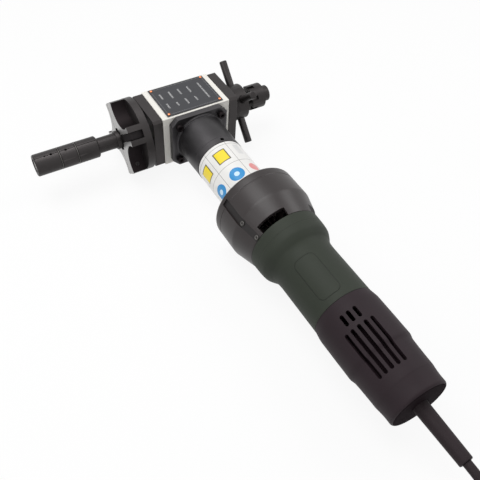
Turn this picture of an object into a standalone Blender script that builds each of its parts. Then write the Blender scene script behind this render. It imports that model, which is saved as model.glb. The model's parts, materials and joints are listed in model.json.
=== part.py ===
"""Electric pipe beveling machine with an expanding mandrel that clamps inside the pipe.

The mandrel axis lies along X with the cutting end at -X, and the motor axis along Y with the cord at -Y. They
cross in the middle of the gearbox block. Every size below is measured from that crossing, in metres, and each
object has its origin there, so a turning piece has its origin on its own axis. Angles on an X piece are counted
from -Y towards +Z, and angles on a Y piece from +X towards +Z, in degrees.
"""

import bmesh
import bpy
from math import cos, dist, hypot, pi, radians, sin, sqrt
from mathutils import Vector
from mathutils.geometry import interpolate_bezier

FULL_TURN = 2 * pi
SHARP_ANGLE = radians(30)
BIG_SIDES = 36
MID_SIDES = 20
SMALL_SIDES = 12
HEX_SIDES = 6
ARC_STEPS = 6
ROUNDING_STEPS = 3
GAP = 0.0003
OVERRUN = 0.002

# Gearbox block
BLOCK_HALF_LENGTH = 0.042
BLOCK_FRONT = 0.030
BLOCK_BACK = 0.0275
BLOCK_HALF_HEIGHT = 0.0325
BLOCK_EDGE = 0.0008
SPINDLE_RADIUS = 0.016
BEARING_RADIUS = 0.024
PINION_HOLE_RADIUS = 0.0133

# End plates of the gearbox
FRONT_PLATE_THICKNESS = 0.0112
REAR_PLATE_THICKNESS = 0.0107
PLATE_CHAMFER = 0.003
BOSS_RADIUS = 0.0218
BOSS_HEIGHT = 0.009
BEARING_WIDTH = 0.0085
SEAT_LIP = 0.0025
FRONT_PLATE_FACE = BLOCK_HALF_LENGTH + GAP + FRONT_PLATE_THICKNESS
REAR_PLATE_FACE = BLOCK_HALF_LENGTH + GAP + REAR_PLATE_THICKNESS

# Nameplate and its rivets
NAMEPLATE_MARGIN = 0.007
NAMEPLATE_HALF_LENGTH = BLOCK_HALF_LENGTH - NAMEPLATE_MARGIN
NAMEPLATE_HALF_WIDTH = 0.0265
NAMEPLATE_THICKNESS = 0.0008
NAMEPLATE_CENTRE = -0.00125
RIVET_MARGIN = 0.003
RIVET_ALONG = NAMEPLATE_HALF_LENGTH - RIVET_MARGIN
RIVET_ACROSS = NAMEPLATE_HALF_WIDTH - RIVET_MARGIN
RIVET_RADIUS = 0.0016
RIVET_HEIGHT = 0.0009
RIVET_SHANK_RADIUS = 0.0008
RIVET_SHANK_LENGTH = 0.004

# Neck between gearbox and motor
FLANGE_HALF_WIDTH = 0.035
FLANGE_HALF_HEIGHT = 0.0325
FLANGE_THICKNESS = 0.0072
FLANGE_CHAMFER = 0.008
NECK_STEP_RADIUS = 0.0305
NECK_STEP_HEIGHT = 0.002
NECK_RADIUS = 0.029
NECK_END_RADIUS = 0.028
NECK_END = 0.078
SPIGOT_RADIUS = 0.022
SPIGOT_END = 0.166
NECK_BORE_RADIUS = 0.014
FLANGE_SCREW_X = 0.0265
FLANGE_SCREW_Z = 0.023
SCREW_HEAD_RADIUS = 0.0041
SCREW_HEAD_HEIGHT = 0.004
SCREW_SHANK_RADIUS = 0.0025
SCREW_LENGTH = 0.016
SOCKET_RADIUS = 0.0022
SOCKET_DEPTH = 0.0022
COLLAR_LENGTH = 0.008
COLLAR_HOLE_RADIUS = 0.0022
COLLAR_HOLE_ANGLE = 83
SLEEVE_RADIUS = 0.0276

# Gear cover at the front of the motor
COVER_FRONT = 0.157
COVER_RADIUS = 0.0465
COVER_ROUNDING = 0.0035
COVER_WALL = 0.0042
COVER_GROOVE = 0.168
COVER_GROOVE_WIDTH = 0.0012
COVER_GROOVE_DEPTH = 0.0006
COVER_CONE_START = 0.194
COVER_END = 0.218
COVER_TAPER = 0.007
COVER_END_RADIUS = COVER_RADIUS - COVER_TAPER
AIR_OUTLET_LENGTH = 0.0085
AIR_OUTLET_SPAN = 45
AIR_OUTLET_ANGLE = 115
AIR_OUTLET_COUNT = 3
AIR_OUTLET_STEP = 90
CHANNEL_WIDTH = 0.008
CHANNEL_DEPTH = 0.0022
CHANNEL_START = 0.163
CHANNEL_ANGLE = 148

# Motor housing, the green grip
HOUSING_END = 0.314
HOUSING_COLLAR_STEP = 0.0012
HOUSING_COLLAR_RADIUS = COVER_END_RADIUS - HOUSING_COLLAR_STEP
HOUSING_COLLAR_END = 0.237
HOUSING_NECK_END = 0.247
HOUSING_NECK_RADIUS = 0.033
GRIP_START = 0.252
GRIP_RADIUS = 0.0313
HOUSING_BORE_RADIUS = 0.0283
HOUSING_RECESS_WALL = 0.0045
HOUSING_RECESS_RADIUS = COVER_END_RADIUS - HOUSING_RECESS_WALL
ARMATURE_BEARING_RADIUS = 0.012
ARMATURE_BEARING_START = 0.2215
ARMATURE_BEARING_WIDTH = 0.009

# Rear cover with its cooling slots
REAR_END = 0.4175
REAR_WALL = 0.003
REAR_BELLY_RADIUS = 0.0327
REAR_BELLY_START = 0.325
REAR_BELLY_END = 0.345
REAR_BUMP_RADIUS = 0.0326
REAR_BUMP = 0.366
REAR_WAIST_RADIUS = 0.0311
REAR_WAIST = 0.372
REAR_SHOULDER_RADIUS = 0.0298
REAR_SHOULDER = 0.400
REAR_TAIL_RADIUS = 0.0287
REAR_TAIL = 0.411
REAR_ROUNDING = 0.003
REAR_BORE_RADIUS = 0.0285
REAR_CHAMBER_RADIUS = 0.0255
REAR_BEARING_RADIUS = 0.010
REAR_BEARING_START = 0.375
REAR_BEARING_WIDTH = 0.008
SLOT_WIDTH = 0.0036
SHORT_SLOT_START = 0.3275
SHORT_SLOT_LENGTH = 0.0115
SHORT_SLOT_COUNT = 3
LONG_SLOT_START = 0.343
LONG_SLOT_LENGTH = 0.046
LONG_SLOT_COUNT = 5
SLOT_STEP = 12.2
SLOT_FACES = (115, 295)

# Motor parts inside
SHAFT_RADIUS = 0.004
ARMATURE_RADIUS = 0.018
ARMATURE_START = 0.250
ARMATURE_LENGTH = 0.050
ARMATURE_END = ARMATURE_START + ARMATURE_LENGTH
COMMUTATOR_RADIUS = 0.010
COMMUTATOR_GAP = 0.045
COMMUTATOR_LENGTH = 0.020
COMMUTATOR_START = ARMATURE_END + COMMUTATOR_GAP
COMMUTATOR_END = COMMUTATOR_START + COMMUTATOR_LENGTH
BRUSH_HALF_WIDTH = 0.004
BRUSH_HALF_HEIGHT = 0.0055
MOTOR_PINION_RADIUS = 0.006
MOTOR_PINION_START = 0.1745
MOTOR_PINION_END = 0.190
FAN_SET_BACK = 0.0045
FAN_START = COVER_CONE_START + FAN_SET_BACK
FAN_WIDTH = 0.010
FAN_ROOM = 0.0065
FAN_RADIUS = COVER_END_RADIUS - FAN_ROOM
FAN_HUB_RADIUS = 0.009
FAN_BLADES = 12
FAN_BLADE_THICKNESS = 0.0016

# Drive shaft with its bevel pinion, and the bevel gear on the spindle
DRIVE_SHAFT_RADIUS = 0.007
CARRIER_ROOM = 0.0105
CARRIER_RADIUS = COVER_RADIUS - CARRIER_ROOM
CARRIER_START = 0.169
CARRIER_END = 0.187
CARRIER_WALL = 0.004
CARRIER_BORE_RADIUS = 0.0115
GEAR_PITCH_RADIUS = 0.022
GEAR_TEETH = 24
PINION_TEETH = 12
GEAR_BACK = 0.020
TOOTH_DEPTH = 0.0012
SPINDLE_CLEARANCE = 0.0012
PINION_HUB_RADIUS = 0.0085
PINION_HUB_LENGTH = 0.002

# Cutter head
HEAD_GAP = 0.005
HEAD_RADIUS = 0.042
HEAD_FLANGE_THICKNESS = 0.0085
HEAD_LENGTH = 0.025
HEAD_BACK = FRONT_PLATE_FACE + HEAD_GAP
HEAD_FRONT = HEAD_BACK + HEAD_LENGTH
HEAD_CORE_RADIUS = 0.0225
HEAD_BORE_RADIUS = 0.0112
HEAD_SEAT_RADIUS = 0.0153
HEAD_SEAT_DEPTH = 0.0115
LOBE_COUNT = 4
LOBE_ANGLE = 39
LOBE_SPAN = 30
TOOL_WIDTH = 0.0084
TOOL_INNER_RADIUS = 0.022
TOOL_OUTER_RADIUS = 0.036
TOOL_NOSE = 0.002
TOOL_NOSE_WIDTH = 0.003
TOOL_BACK_SLOPE = 0.004
TOOL_SCREW_RADIUS = 0.0022
TOOL_SCREW_FROM_AXIS = 0.032
TOOL_SCREW_LENGTH = 0.0045

# Spindle
SPINDLE_END_INSET = 0.004
SPINDLE_END = BLOCK_HALF_LENGTH - SPINDLE_END_INSET
SPINDLE_BORE_RADIUS = 0.0092

# Feed wheel
FEED_HUB_GAP = 0.0005
FEED_HUB_LENGTH = 0.014
FEED_HUB_START = REAR_PLATE_FACE + BOSS_HEIGHT + FEED_HUB_GAP
FEED_HUB_END = FEED_HUB_START + FEED_HUB_LENGTH
FEED_HUB_RADIUS = 0.021
FEED_HUB_EDGE = 0.0008
FEED_SLEEVE_RADIUS = 0.012
FEED_SLEEVE_DEPTH = 0.015
SPOKE_COUNT = 4
SPOKE_ANGLE = 43
SPOKE_RADIUS = 0.0045
SPOKE_ROOT = 0.012
SPOKE_TIP = 0.051
SPOKE_ROUNDING = 0.0012

# Mandrel with its expanding shoes
MANDREL_RADIUS = 0.0087
MANDREL_THREAD_RADIUS = 0.008
MANDREL_THREAD_START = 0.020
MANDREL_COLLAR_RADIUS = 0.0105
MANDREL_COLLAR_WIDTH = 0.004
MANDREL_COLLAR_GAP = 0.0015
SHOE_COUNT = 3
SHOE_ANGLE = 135
SHOE_RADIUS = 0.0122
SHOE_STAND_OFF = 0.0275
SHOE_LENGTH = 0.071
SHOE_START = HEAD_FRONT + SHOE_STAND_OFF
MANDREL_TIP = SHOE_START + SHOE_LENGTH
SHOE_SLIT = 0.0006
SHOE_CHAMFER = 0.001
SHOE_STEPS = 8
SHOE_GROOVE_INSET = 0.0244
SHOE_GROOVE_SPACING = 0.019
SHOE_GROOVES = (SHOE_START + SHOE_GROOVE_INSET, SHOE_START + SHOE_GROOVE_INSET + SHOE_GROOVE_SPACING)
SHOE_GROOVE_WIDTH = 0.002
SHOE_GROOVE_RADIUS = 0.0108
RING_WIRE_RADIUS = 0.0005
RING_SPRING_RADIUS = 0.0119
RING_SPRING_STEPS = 8
ROD_RADIUS = 0.004
ROD_CONE_SLOPE = 0.06
ROD_CONE_INSET = 0.010
ROD_CONE_START = SHOE_START + ROD_CONE_INSET

# Clamp knob and the nut at the end of the draw rod
KNOB_STAND_OFF = 0.0095
KNOB_LENGTH = 0.018
KNOB_START = FEED_HUB_END + KNOB_STAND_OFF
KNOB_END = KNOB_START + KNOB_LENGTH
KNOB_RADIUS = 0.015
KNOB_ROUNDING = 0.0015
KNOB_NOTCH_WIDTH = 0.005
KNOB_NOTCH_DEPTH = 0.003
KNOB_NOTCH_LENGTH = 0.008
KNOB_NOTCHES = 6
END_NUT_GAP = 0.001
END_NUT_LENGTH = 0.0085
END_NUT_RADIUS = 0.0096

# Slide switch
SWITCH_ANGLE = 296
SWITCH_FLAT = 0.030
SWITCH_START = 0.268
SWITCH_LENGTH = 0.018
SWITCH_HALF_WIDTH = 0.0065
SWITCH_HEIGHT = 0.0042
SWITCH_TRAVEL = 0.005
SWITCH_SIDE_ROOM = 0.001

# Strain relief, cord, coil, tie and plug
RELIEF_RADIUS = 0.0073
RELIEF_TIP_RADIUS = 0.0064
RELIEF_LENGTH = 0.0535
RELIEF_FLANGE_RADIUS = 0.0095
RELIEF_FLANGE_LENGTH = 0.004
CORD_RADIUS = 0.004
CORD_STEP = 0.016
ROUTE_FINENESS = 9
CORD_ROUTE = (
    (0.0, -0.4713, 0.0),
    (0.0, -0.4860, -0.0006),
    (0.0009, -0.5010, -0.0055),
    (0.0045, -0.5170, -0.0150),
    (0.0110, -0.5330, -0.0257),
    (0.0195, -0.5500, -0.0347),
    (0.0285, -0.5680, -0.0396),
    (0.0355, -0.5870, -0.0410),
    (0.0389, -0.6060, -0.0413),
)
COIL_INNER_RADIUS = 0.0325
COIL_PITCH = 0.0088
COIL_LAYER_TURNS = 3.75
COIL_EASE_TURNS = 0.12
COIL_CLIMB_TURNS = 0.5
COIL_TAIL_TURNS = 0.15
COIL_TAIL_SPREAD = 0.010
COIL_LOOP_POINTS = 24
TIE_WALL = 0.0008
TIE_WIDTH = 0.010
PLUG_RADIUS = 0.0170
PLUG_NECK_RADIUS = 0.0052
PLUG_LENGTH = 0.040
PLUG_NECK_LENGTH = 0.012
PLUG_EDGE = 0.002
PLUG_PIN_RADIUS = 0.0024
PLUG_PIN_LENGTH = 0.019
PLUG_PIN_SPACING = 0.019

# Places worked out from the sizes above
FLANGE_BACK = BLOCK_FRONT + GAP
FLANGE_FACE = FLANGE_BACK + FLANGE_THICKNESS
SLEEVE_START = NECK_END + GAP + COLLAR_LENGTH
ROD_END = KNOB_END + END_NUT_GAP + END_NUT_LENGTH
RELIEF_END = REAR_END + RELIEF_LENGTH
LEFT_END = MANDREL_TIP
RIGHT_END = ROD_END
BACK_END = max(HEAD_RADIUS, BLOCK_BACK)
CROSSING = Vector(((LEFT_END - RIGHT_END) / 2, (RELIEF_END - BACK_END) / 2, COVER_RADIUS))
FLOOR = -COVER_RADIUS


def clear_scene():
    for old in list(bpy.data.objects):
        bpy.data.objects.remove(old, do_unlink=True)


def finish(name, colour, roughness, metallic=0.0):
    """A plain Principled material."""
    material = bpy.data.materials.new(name)
    material.use_nodes = True
    shader = material.node_tree.nodes["Principled BSDF"]
    shader.inputs["Base Color"].default_value = (*colour, 1)
    shader.inputs["Roughness"].default_value = roughness
    shader.inputs["Metallic"].default_value = metallic
    return material


def point_at(axis, station, across, up):
    """A point beside the mandrel axis (station counts towards +X) or the motor axis (towards the cord)."""
    if axis == "mandrel":
        return Vector((station, -across, up))
    return Vector((across, -station, up))


def polar(axis, station, radius, degrees):
    return point_at(axis, station, radius * cos(radians(degrees)), radius * sin(radians(degrees)))


def add_object(name, bm, material, place=None):
    """Makes the object of a closed mesh, with its faces outwards, at the crossing of the two axes."""
    bmesh.ops.recalc_face_normals(bm, faces=bm.faces)
    mesh = bpy.data.meshes.new(name)
    bm.to_mesh(mesh)
    bm.free()
    mesh.shade_smooth()
    mesh.set_sharp_from_angle(angle=SHARP_ANGLE)
    piece = bpy.data.objects.new(name, mesh)
    piece.location = CROSSING if place is None else place
    piece.data.materials.append(material)
    bpy.context.scene.collection.objects.link(piece)
    return piece


def bridge(bm, first, second):
    count = len(first)
    for k in range(count):
        bm.faces.new((first[k], first[(k + 1) % count], second[(k + 1) % count], second[k]))


def turned(name, axis, profile, material, sides=MID_SIDES, bored=False, teeth=0):
    """A turned piece. The profile is a list of (station, radius), or (station, radius, tooth depth)."""
    bm = bmesh.new()
    rings = []
    for station, radius, *depth in profile:
        ring = []
        for k in range(sides):
            valley = depth[0] if depth and (k * teeth * 4 // sides) % 4 in (0, 3) else 0
            angle = 360 * k / sides
            ring.append(bm.verts.new(polar(axis, station, radius - valley, angle)))
        rings.append(ring)
    for first, second in zip(rings, rings[1:]):
        bridge(bm, first, second)
    if bored:
        bridge(bm, rings[-1], rings[0])
    else:
        bm.faces.new(rings[0])
        bm.faces.new(rings[-1])
    return add_object(name, bm, material)


def prism(name, outline, lift, material):
    """A straight solid between the outline's points and the same points moved by the lift vector."""
    bm = bmesh.new()
    near = [bm.verts.new(point) for point in outline]
    far = [bm.verts.new(Vector(point) + Vector(lift)) for point in outline]
    bridge(bm, near, far)
    bm.faces.new(near)
    bm.faces.new(far)
    return add_object(name, bm, material)


def box(name, low, high, material, edge=0.0):
    x_low, y_low, z_low = low
    x_high, y_high, z_high = high
    outline = ((x_low, y_low, z_low), (x_high, y_low, z_low), (x_high, y_high, z_low), (x_low, y_high, z_low))
    piece = prism(name, outline, (0, 0, z_high - z_low), material)
    if edge:
        bevel = piece.modifiers.new("edge", "BEVEL")
        bevel.width = edge
        bevel.segments = 1
    return piece


def boolean(piece, tool, operation):
    step = piece.modifiers.new(tool.name, "BOOLEAN")
    step.operation = operation
    step.solver = "EXACT"
    step.object = tool
    tool.hide_render = True
    tool.display_type = "WIRE"


def cut(piece, *tools):
    for tool in tools:
        boolean(piece, tool, "DIFFERENCE")


def join(piece, *tools):
    for tool in tools:
        boolean(piece, tool, "UNION")


def chamfered(half_width, half_height, chamfer, width_low=None):
    """A rectangle with its corners cut off, as (across, up) pairs in order."""
    low = -half_width if width_low is None else width_low
    return (
        (low + chamfer, -half_height),
        (half_width - chamfer, -half_height),
        (half_width, -half_height + chamfer),
        (half_width, half_height - chamfer),
        (half_width - chamfer, half_height),
        (low + chamfer, half_height),
        (low, half_height - chamfer),
        (low, -half_height + chamfer),
    )


def bar(name, base, along, profile, material, sides=SMALL_SIDES):
    """A turned piece on any line. The profile is a list of (distance along the line, radius)."""
    along = Vector(along).normalized()
    across = along.orthogonal().normalized()
    beside = along.cross(across)
    bm = bmesh.new()
    rings = []
    for distance, radius in profile:
        middle = Vector(base) + along * distance
        ring = []
        for k in range(sides):
            angle = FULL_TURN * k / sides
            ring.append(bm.verts.new(middle + across * radius * cos(angle) + beside * radius * sin(angle)))
        rings.append(ring)
    for first, second in zip(rings, rings[1:]):
        bridge(bm, first, second)
    bm.faces.new(rings[0])
    bm.faces.new(rings[-1])
    return add_object(name, bm, material)


def radial_box(name, axis, stations, degrees, inner, outer, half_width, material):
    """A straight-sided bar pointing away from an axis, between two stations and two distances."""
    out = polar(axis, 0, 1, degrees)
    side = polar(axis, 0, 1, degrees + 90)
    start, end = stations
    base = polar(axis, start, 0, 0)
    corners = ((inner, -half_width), (outer, -half_width), (outer, half_width), (inner, half_width))
    outline = [base + out * reach + side * width for reach, width in corners]
    return prism(name, outline, polar(axis, end, 0, 0) - base, material)


def sector(name, axis, stations, inner, outer, first_degrees, last_degrees, material, steps=ARC_STEPS):
    """A piece of a ring between two angles."""
    start, end = stations
    outline = []
    for k in range(steps + 1):
        outline.append(polar(axis, start, outer, first_degrees + (last_degrees - first_degrees) * k / steps))
    for k in range(steps + 1):
        outline.append(polar(axis, start, inner, last_degrees + (first_degrees - last_degrees) * k / steps))
    return prism(name, outline, polar(axis, end, 0, 0) - polar(axis, start, 0, 0), material)


def rounded_end(start, radius, rounding, steps=ROUNDING_STEPS):
    """Profile points of a rounded edge, from the smaller radius out to the full one, at the start station."""
    points = []
    for k in range(steps + 1):
        angle = pi / 2 * k / steps
        along = rounding * (1 - cos(angle))
        points.append((start + along, radius - rounding * (1 - sin(angle))))
    return points


def cutter(name, axis, start, end, radius, sides=MID_SIDES):
    """A plain round cutter along an axis, longer than its hole by the overrun at both ends."""
    return turned(name, axis, ((start - OVERRUN, radius), (end + OVERRUN, radius)), HIDDEN, sides)


def gearbox_block():
    low = (-BLOCK_HALF_LENGTH, -BLOCK_FRONT, -BLOCK_HALF_HEIGHT)
    high = (BLOCK_HALF_LENGTH, BLOCK_BACK, BLOCK_HALF_HEIGHT)
    block = box("gearbox_block", low, high, PALE_PAINT, BLOCK_EDGE)
    cut(block, cutter("block_bore", "mandrel", -BLOCK_HALF_LENGTH, BLOCK_HALF_LENGTH, BEARING_RADIUS + GAP))
    cut(block, cutter("block_pinion_hole", "motor", PINION_HOLE_RADIUS, BLOCK_FRONT, PINION_HOLE_RADIUS))
    for along in (-RIVET_ALONG, RIVET_ALONG):
        for across in (-RIVET_ACROSS, RIVET_ACROSS):
            cut(block, rivet_hole(f"block_rivet_hole_{along:+.3f}_{across:+.3f}", along, across))


def rivet_hole(name, along, across):
    foot = (along, across + NAMEPLATE_CENTRE, BLOCK_HALF_HEIGHT - RIVET_SHANK_LENGTH - GAP)
    radius = RIVET_SHANK_RADIUS + GAP
    return bar(name, foot, (0, 0, 1), ((0, radius), (RIVET_SHANK_LENGTH + OVERRUN, radius)), HIDDEN)


def end_plate_outline(station):
    return [point_at("mandrel", station, across, up)
            for across, up in chamfered(BLOCK_FRONT, BLOCK_HALF_HEIGHT, PLATE_CHAMFER, -BLOCK_BACK)]


def front_end_plate():
    inner = -BLOCK_HALF_LENGTH - GAP
    plate = prism("front_end_plate", end_plate_outline(inner), (-FRONT_PLATE_THICKNESS, 0, 0), BLACK_STEEL)
    seat_end = -FRONT_PLATE_FACE + SEAT_LIP
    cut(plate, turned("front_plate_seat", "mandrel", (
        (-FRONT_PLATE_FACE - OVERRUN, SPINDLE_RADIUS + GAP),
        (seat_end, SPINDLE_RADIUS + GAP),
        (seat_end, BEARING_RADIUS + GAP),
        (inner + OVERRUN, BEARING_RADIUS + GAP),
    ), HIDDEN))


def rear_end_plate():
    inner = BLOCK_HALF_LENGTH + GAP
    plate = prism("rear_end_plate", end_plate_outline(inner), (REAR_PLATE_THICKNESS, 0, 0), BLACK_STEEL)
    join(plate, turned("rear_plate_boss", "mandrel", (
        (inner + GAP, BOSS_RADIUS),
        (REAR_PLATE_FACE + BOSS_HEIGHT - BLOCK_EDGE, BOSS_RADIUS),
        (REAR_PLATE_FACE + BOSS_HEIGHT, BOSS_RADIUS - BLOCK_EDGE),
    ), HIDDEN, BIG_SIDES))
    cut(plate, cutter("rear_plate_bore", "mandrel", inner, REAR_PLATE_FACE + BOSS_HEIGHT, FEED_SLEEVE_RADIUS + GAP))


def nameplate():
    low = BLOCK_HALF_HEIGHT + GAP
    plate = box("nameplate",
                (-NAMEPLATE_HALF_LENGTH, NAMEPLATE_CENTRE - NAMEPLATE_HALF_WIDTH, low),
                (NAMEPLATE_HALF_LENGTH, NAMEPLATE_CENTRE + NAMEPLATE_HALF_WIDTH, low + NAMEPLATE_THICKNESS), GREY_PLATE)
    count = 0
    for along in (-RIVET_ALONG, RIVET_ALONG):
        for across in (-RIVET_ACROSS, RIVET_ACROSS):
            count += 1
            cut(plate, rivet_hole(f"nameplate_hole_{count}", along, across))
            head = low + NAMEPLATE_THICKNESS + GAP
            foot = BLOCK_HALF_HEIGHT - RIVET_SHANK_LENGTH
            bar(f"nameplate_rivet_{count}", (along, across + NAMEPLATE_CENTRE, 0), (0, 0, 1), (
                (foot, RIVET_SHANK_RADIUS),
                (head, RIVET_SHANK_RADIUS),
                (head, RIVET_RADIUS),
                (head + RIVET_HEIGHT / 2, RIVET_RADIUS),
                (head + RIVET_HEIGHT, RIVET_RADIUS / 2),
            ), COPPER)


def neck_flange():
    outline = [point_at("motor", FLANGE_BACK, across, up)
               for across, up in chamfered(FLANGE_HALF_WIDTH, FLANGE_HALF_HEIGHT, FLANGE_CHAMFER)]
    plate = prism("neck_flange", outline, (0, -FLANGE_THICKNESS, 0), BLACK_STEEL)
    join(plate, turned("neck_tube", "motor", (
        (FLANGE_BACK + GAP, NECK_STEP_RADIUS),
        (FLANGE_FACE + NECK_STEP_HEIGHT, NECK_STEP_RADIUS),
        (FLANGE_FACE + NECK_STEP_HEIGHT, NECK_RADIUS),
        (NECK_END - GAP, NECK_END_RADIUS),
        (NECK_END - GAP, SPIGOT_RADIUS),
        (SPIGOT_END, SPIGOT_RADIUS),
    ), HIDDEN, BIG_SIDES))
    cut(plate, cutter("neck_bore", "motor", FLANGE_BACK, SPIGOT_END, NECK_BORE_RADIUS))
    count = 0
    for side in (-FLANGE_SCREW_X, FLANGE_SCREW_X):
        for up in (-FLANGE_SCREW_Z, FLANGE_SCREW_Z):
            count += 1
            flange_screw(f"flange_screw_{count}", side, up)
            seat = FLANGE_FACE + GAP / 2
            cut(plate, motor_pin(f"flange_hole_{count}", side, up, (
                (FLANGE_BACK - OVERRUN, SCREW_SHANK_RADIUS + GAP),
                (seat, SCREW_SHANK_RADIUS + GAP),
                (seat, SCREW_HEAD_RADIUS + GAP),
                (FLANGE_FACE + NECK_STEP_HEIGHT + OVERRUN, SCREW_HEAD_RADIUS + GAP),
            ), HIDDEN))
            cut(bpy.data.objects["gearbox_block"], motor_pin(f"block_screw_hole_{count}", side, up, (
                (FLANGE_FACE - SCREW_LENGTH - GAP, SCREW_SHANK_RADIUS + GAP),
                (FLANGE_FACE, SCREW_SHANK_RADIUS + GAP),
            ), HIDDEN))


def motor_pin(name, x, z, profile, material, sides=SMALL_SIDES):
    """A small turned piece beside the motor axis, parallel to it."""
    return bar(name, (x, 0, z), (0, -1, 0), profile, material, sides)


def flange_screw(name, x, z):
    face = FLANGE_FACE + GAP
    screw = motor_pin(name, x, z, (
        (FLANGE_FACE - SCREW_LENGTH, SCREW_SHANK_RADIUS),
        (face, SCREW_SHANK_RADIUS),
        (face, SCREW_HEAD_RADIUS),
        (face + SCREW_HEAD_HEIGHT, SCREW_HEAD_RADIUS),
    ), BLACK_STEEL)
    cut(screw, motor_pin(f"{name}_socket", x, z, (
        (face + SCREW_HEAD_HEIGHT - SOCKET_DEPTH, SOCKET_RADIUS),
        (face + SCREW_HEAD_HEIGHT + OVERRUN, SOCKET_RADIUS),
    ), HIDDEN, HEX_SIDES))


def neck_rings():
    bore = SPIGOT_RADIUS + GAP
    collar = turned("tube_collar", "motor", (
        (NECK_END, NECK_END_RADIUS),
        (NECK_END + COLLAR_LENGTH, NECK_END_RADIUS),
        (NECK_END + COLLAR_LENGTH, bore),
        (NECK_END, bore),
    ), BLACK_STEEL, BIG_SIDES, bored=True)
    base = polar("motor", NECK_END + COLLAR_LENGTH / 2, 0, 0)
    cut(collar, bar("collar_hole", base, polar("motor", 0, 1, COLLAR_HOLE_ANGLE), (
        (SPIGOT_RADIUS, COLLAR_HOLE_RADIUS), (NECK_END_RADIUS + OVERRUN, COLLAR_HOLE_RADIUS)), HIDDEN))
    turned("printed_sleeve", "motor", (
        (SLEEVE_START, SLEEVE_RADIUS),
        (SPIGOT_END, SLEEVE_RADIUS),
        (SPIGOT_END, bore),
        (SLEEVE_START, bore),
    ), WHITE_SLEEVE, BIG_SIDES, bored=True)


def gear_cover():
    inner = COVER_RADIUS - COVER_WALL
    end_inner = COVER_END_RADIUS - COVER_WALL
    hole = SLEEVE_RADIUS + GAP
    half_groove = COVER_GROOVE_WIDTH / 2
    cover = turned("gear_cover", "motor", (
        *rounded_end(COVER_FRONT, COVER_RADIUS, COVER_ROUNDING),
        (COVER_GROOVE - half_groove, COVER_RADIUS),
        (COVER_GROOVE, COVER_RADIUS - COVER_GROOVE_DEPTH),
        (COVER_GROOVE + half_groove, COVER_RADIUS),
        (COVER_CONE_START, COVER_RADIUS),
        (COVER_END, COVER_END_RADIUS),
        (COVER_END, end_inner),
        (COVER_CONE_START, inner),
        (COVER_FRONT + COVER_WALL, inner),
        (COVER_FRONT + COVER_WALL, hole),
        (COVER_FRONT, hole),
    ), BLACK_PLASTIC, BIG_SIDES, bored=True)
    vent = (COVER_END - AIR_OUTLET_LENGTH, COVER_END + OVERRUN)
    for k in range(AIR_OUTLET_COUNT):
        middle = AIR_OUTLET_ANGLE - AIR_OUTLET_STEP * k
        cut(cover, sector(f"air_outlet_{k + 1}", "motor", vent, end_inner - COVER_WALL, COVER_RADIUS,
                          middle - AIR_OUTLET_SPAN / 2, middle + AIR_OUTLET_SPAN / 2, HIDDEN))
    cut(cover, radial_box("cover_channel", "motor", (CHANNEL_START, COVER_END + OVERRUN), CHANNEL_ANGLE,
                          COVER_RADIUS - CHANNEL_DEPTH, COVER_RADIUS + OVERRUN, CHANNEL_WIDTH / 2, HIDDEN))


def motor_housing():
    front = COVER_END + GAP
    bulkhead_end = ARMATURE_BEARING_START + ARMATURE_BEARING_WIDTH
    bearing_seat = ARMATURE_BEARING_RADIUS + GAP
    housing = turned("motor_housing", "motor", (
        (front, COVER_END_RADIUS),
        (HOUSING_COLLAR_END, HOUSING_COLLAR_RADIUS),
        (HOUSING_NECK_END, HOUSING_NECK_RADIUS),
        (GRIP_START, GRIP_RADIUS),
        (HOUSING_END, GRIP_RADIUS),
        (HOUSING_END, HOUSING_BORE_RADIUS),
        (bulkhead_end, HOUSING_BORE_RADIUS),
        (bulkhead_end, bearing_seat),
        (ARMATURE_BEARING_START, bearing_seat),
        (ARMATURE_BEARING_START, HOUSING_RECESS_RADIUS),
        (front, HOUSING_RECESS_RADIUS),
    ), GREEN_PLASTIC, BIG_SIDES, bored=True)
    ends = (SWITCH_START - SWITCH_SIDE_ROOM, SWITCH_START + SWITCH_TRAVEL + SWITCH_LENGTH + SWITCH_SIDE_ROOM)
    cut(housing, radial_box("switch_pocket", "motor", ends, SWITCH_ANGLE, SWITCH_FLAT, GRIP_RADIUS + OVERRUN,
                            SWITCH_HALF_WIDTH + SWITCH_SIDE_ROOM, HIDDEN))
    start = SWITCH_START + SWITCH_TRAVEL
    radial_box("slide_switch", "motor", (start, start + SWITCH_LENGTH), SWITCH_ANGLE, SWITCH_FLAT + GAP,
               SWITCH_FLAT + GAP + SWITCH_HEIGHT, SWITCH_HALF_WIDTH, BLACK_PLASTIC)


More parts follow.
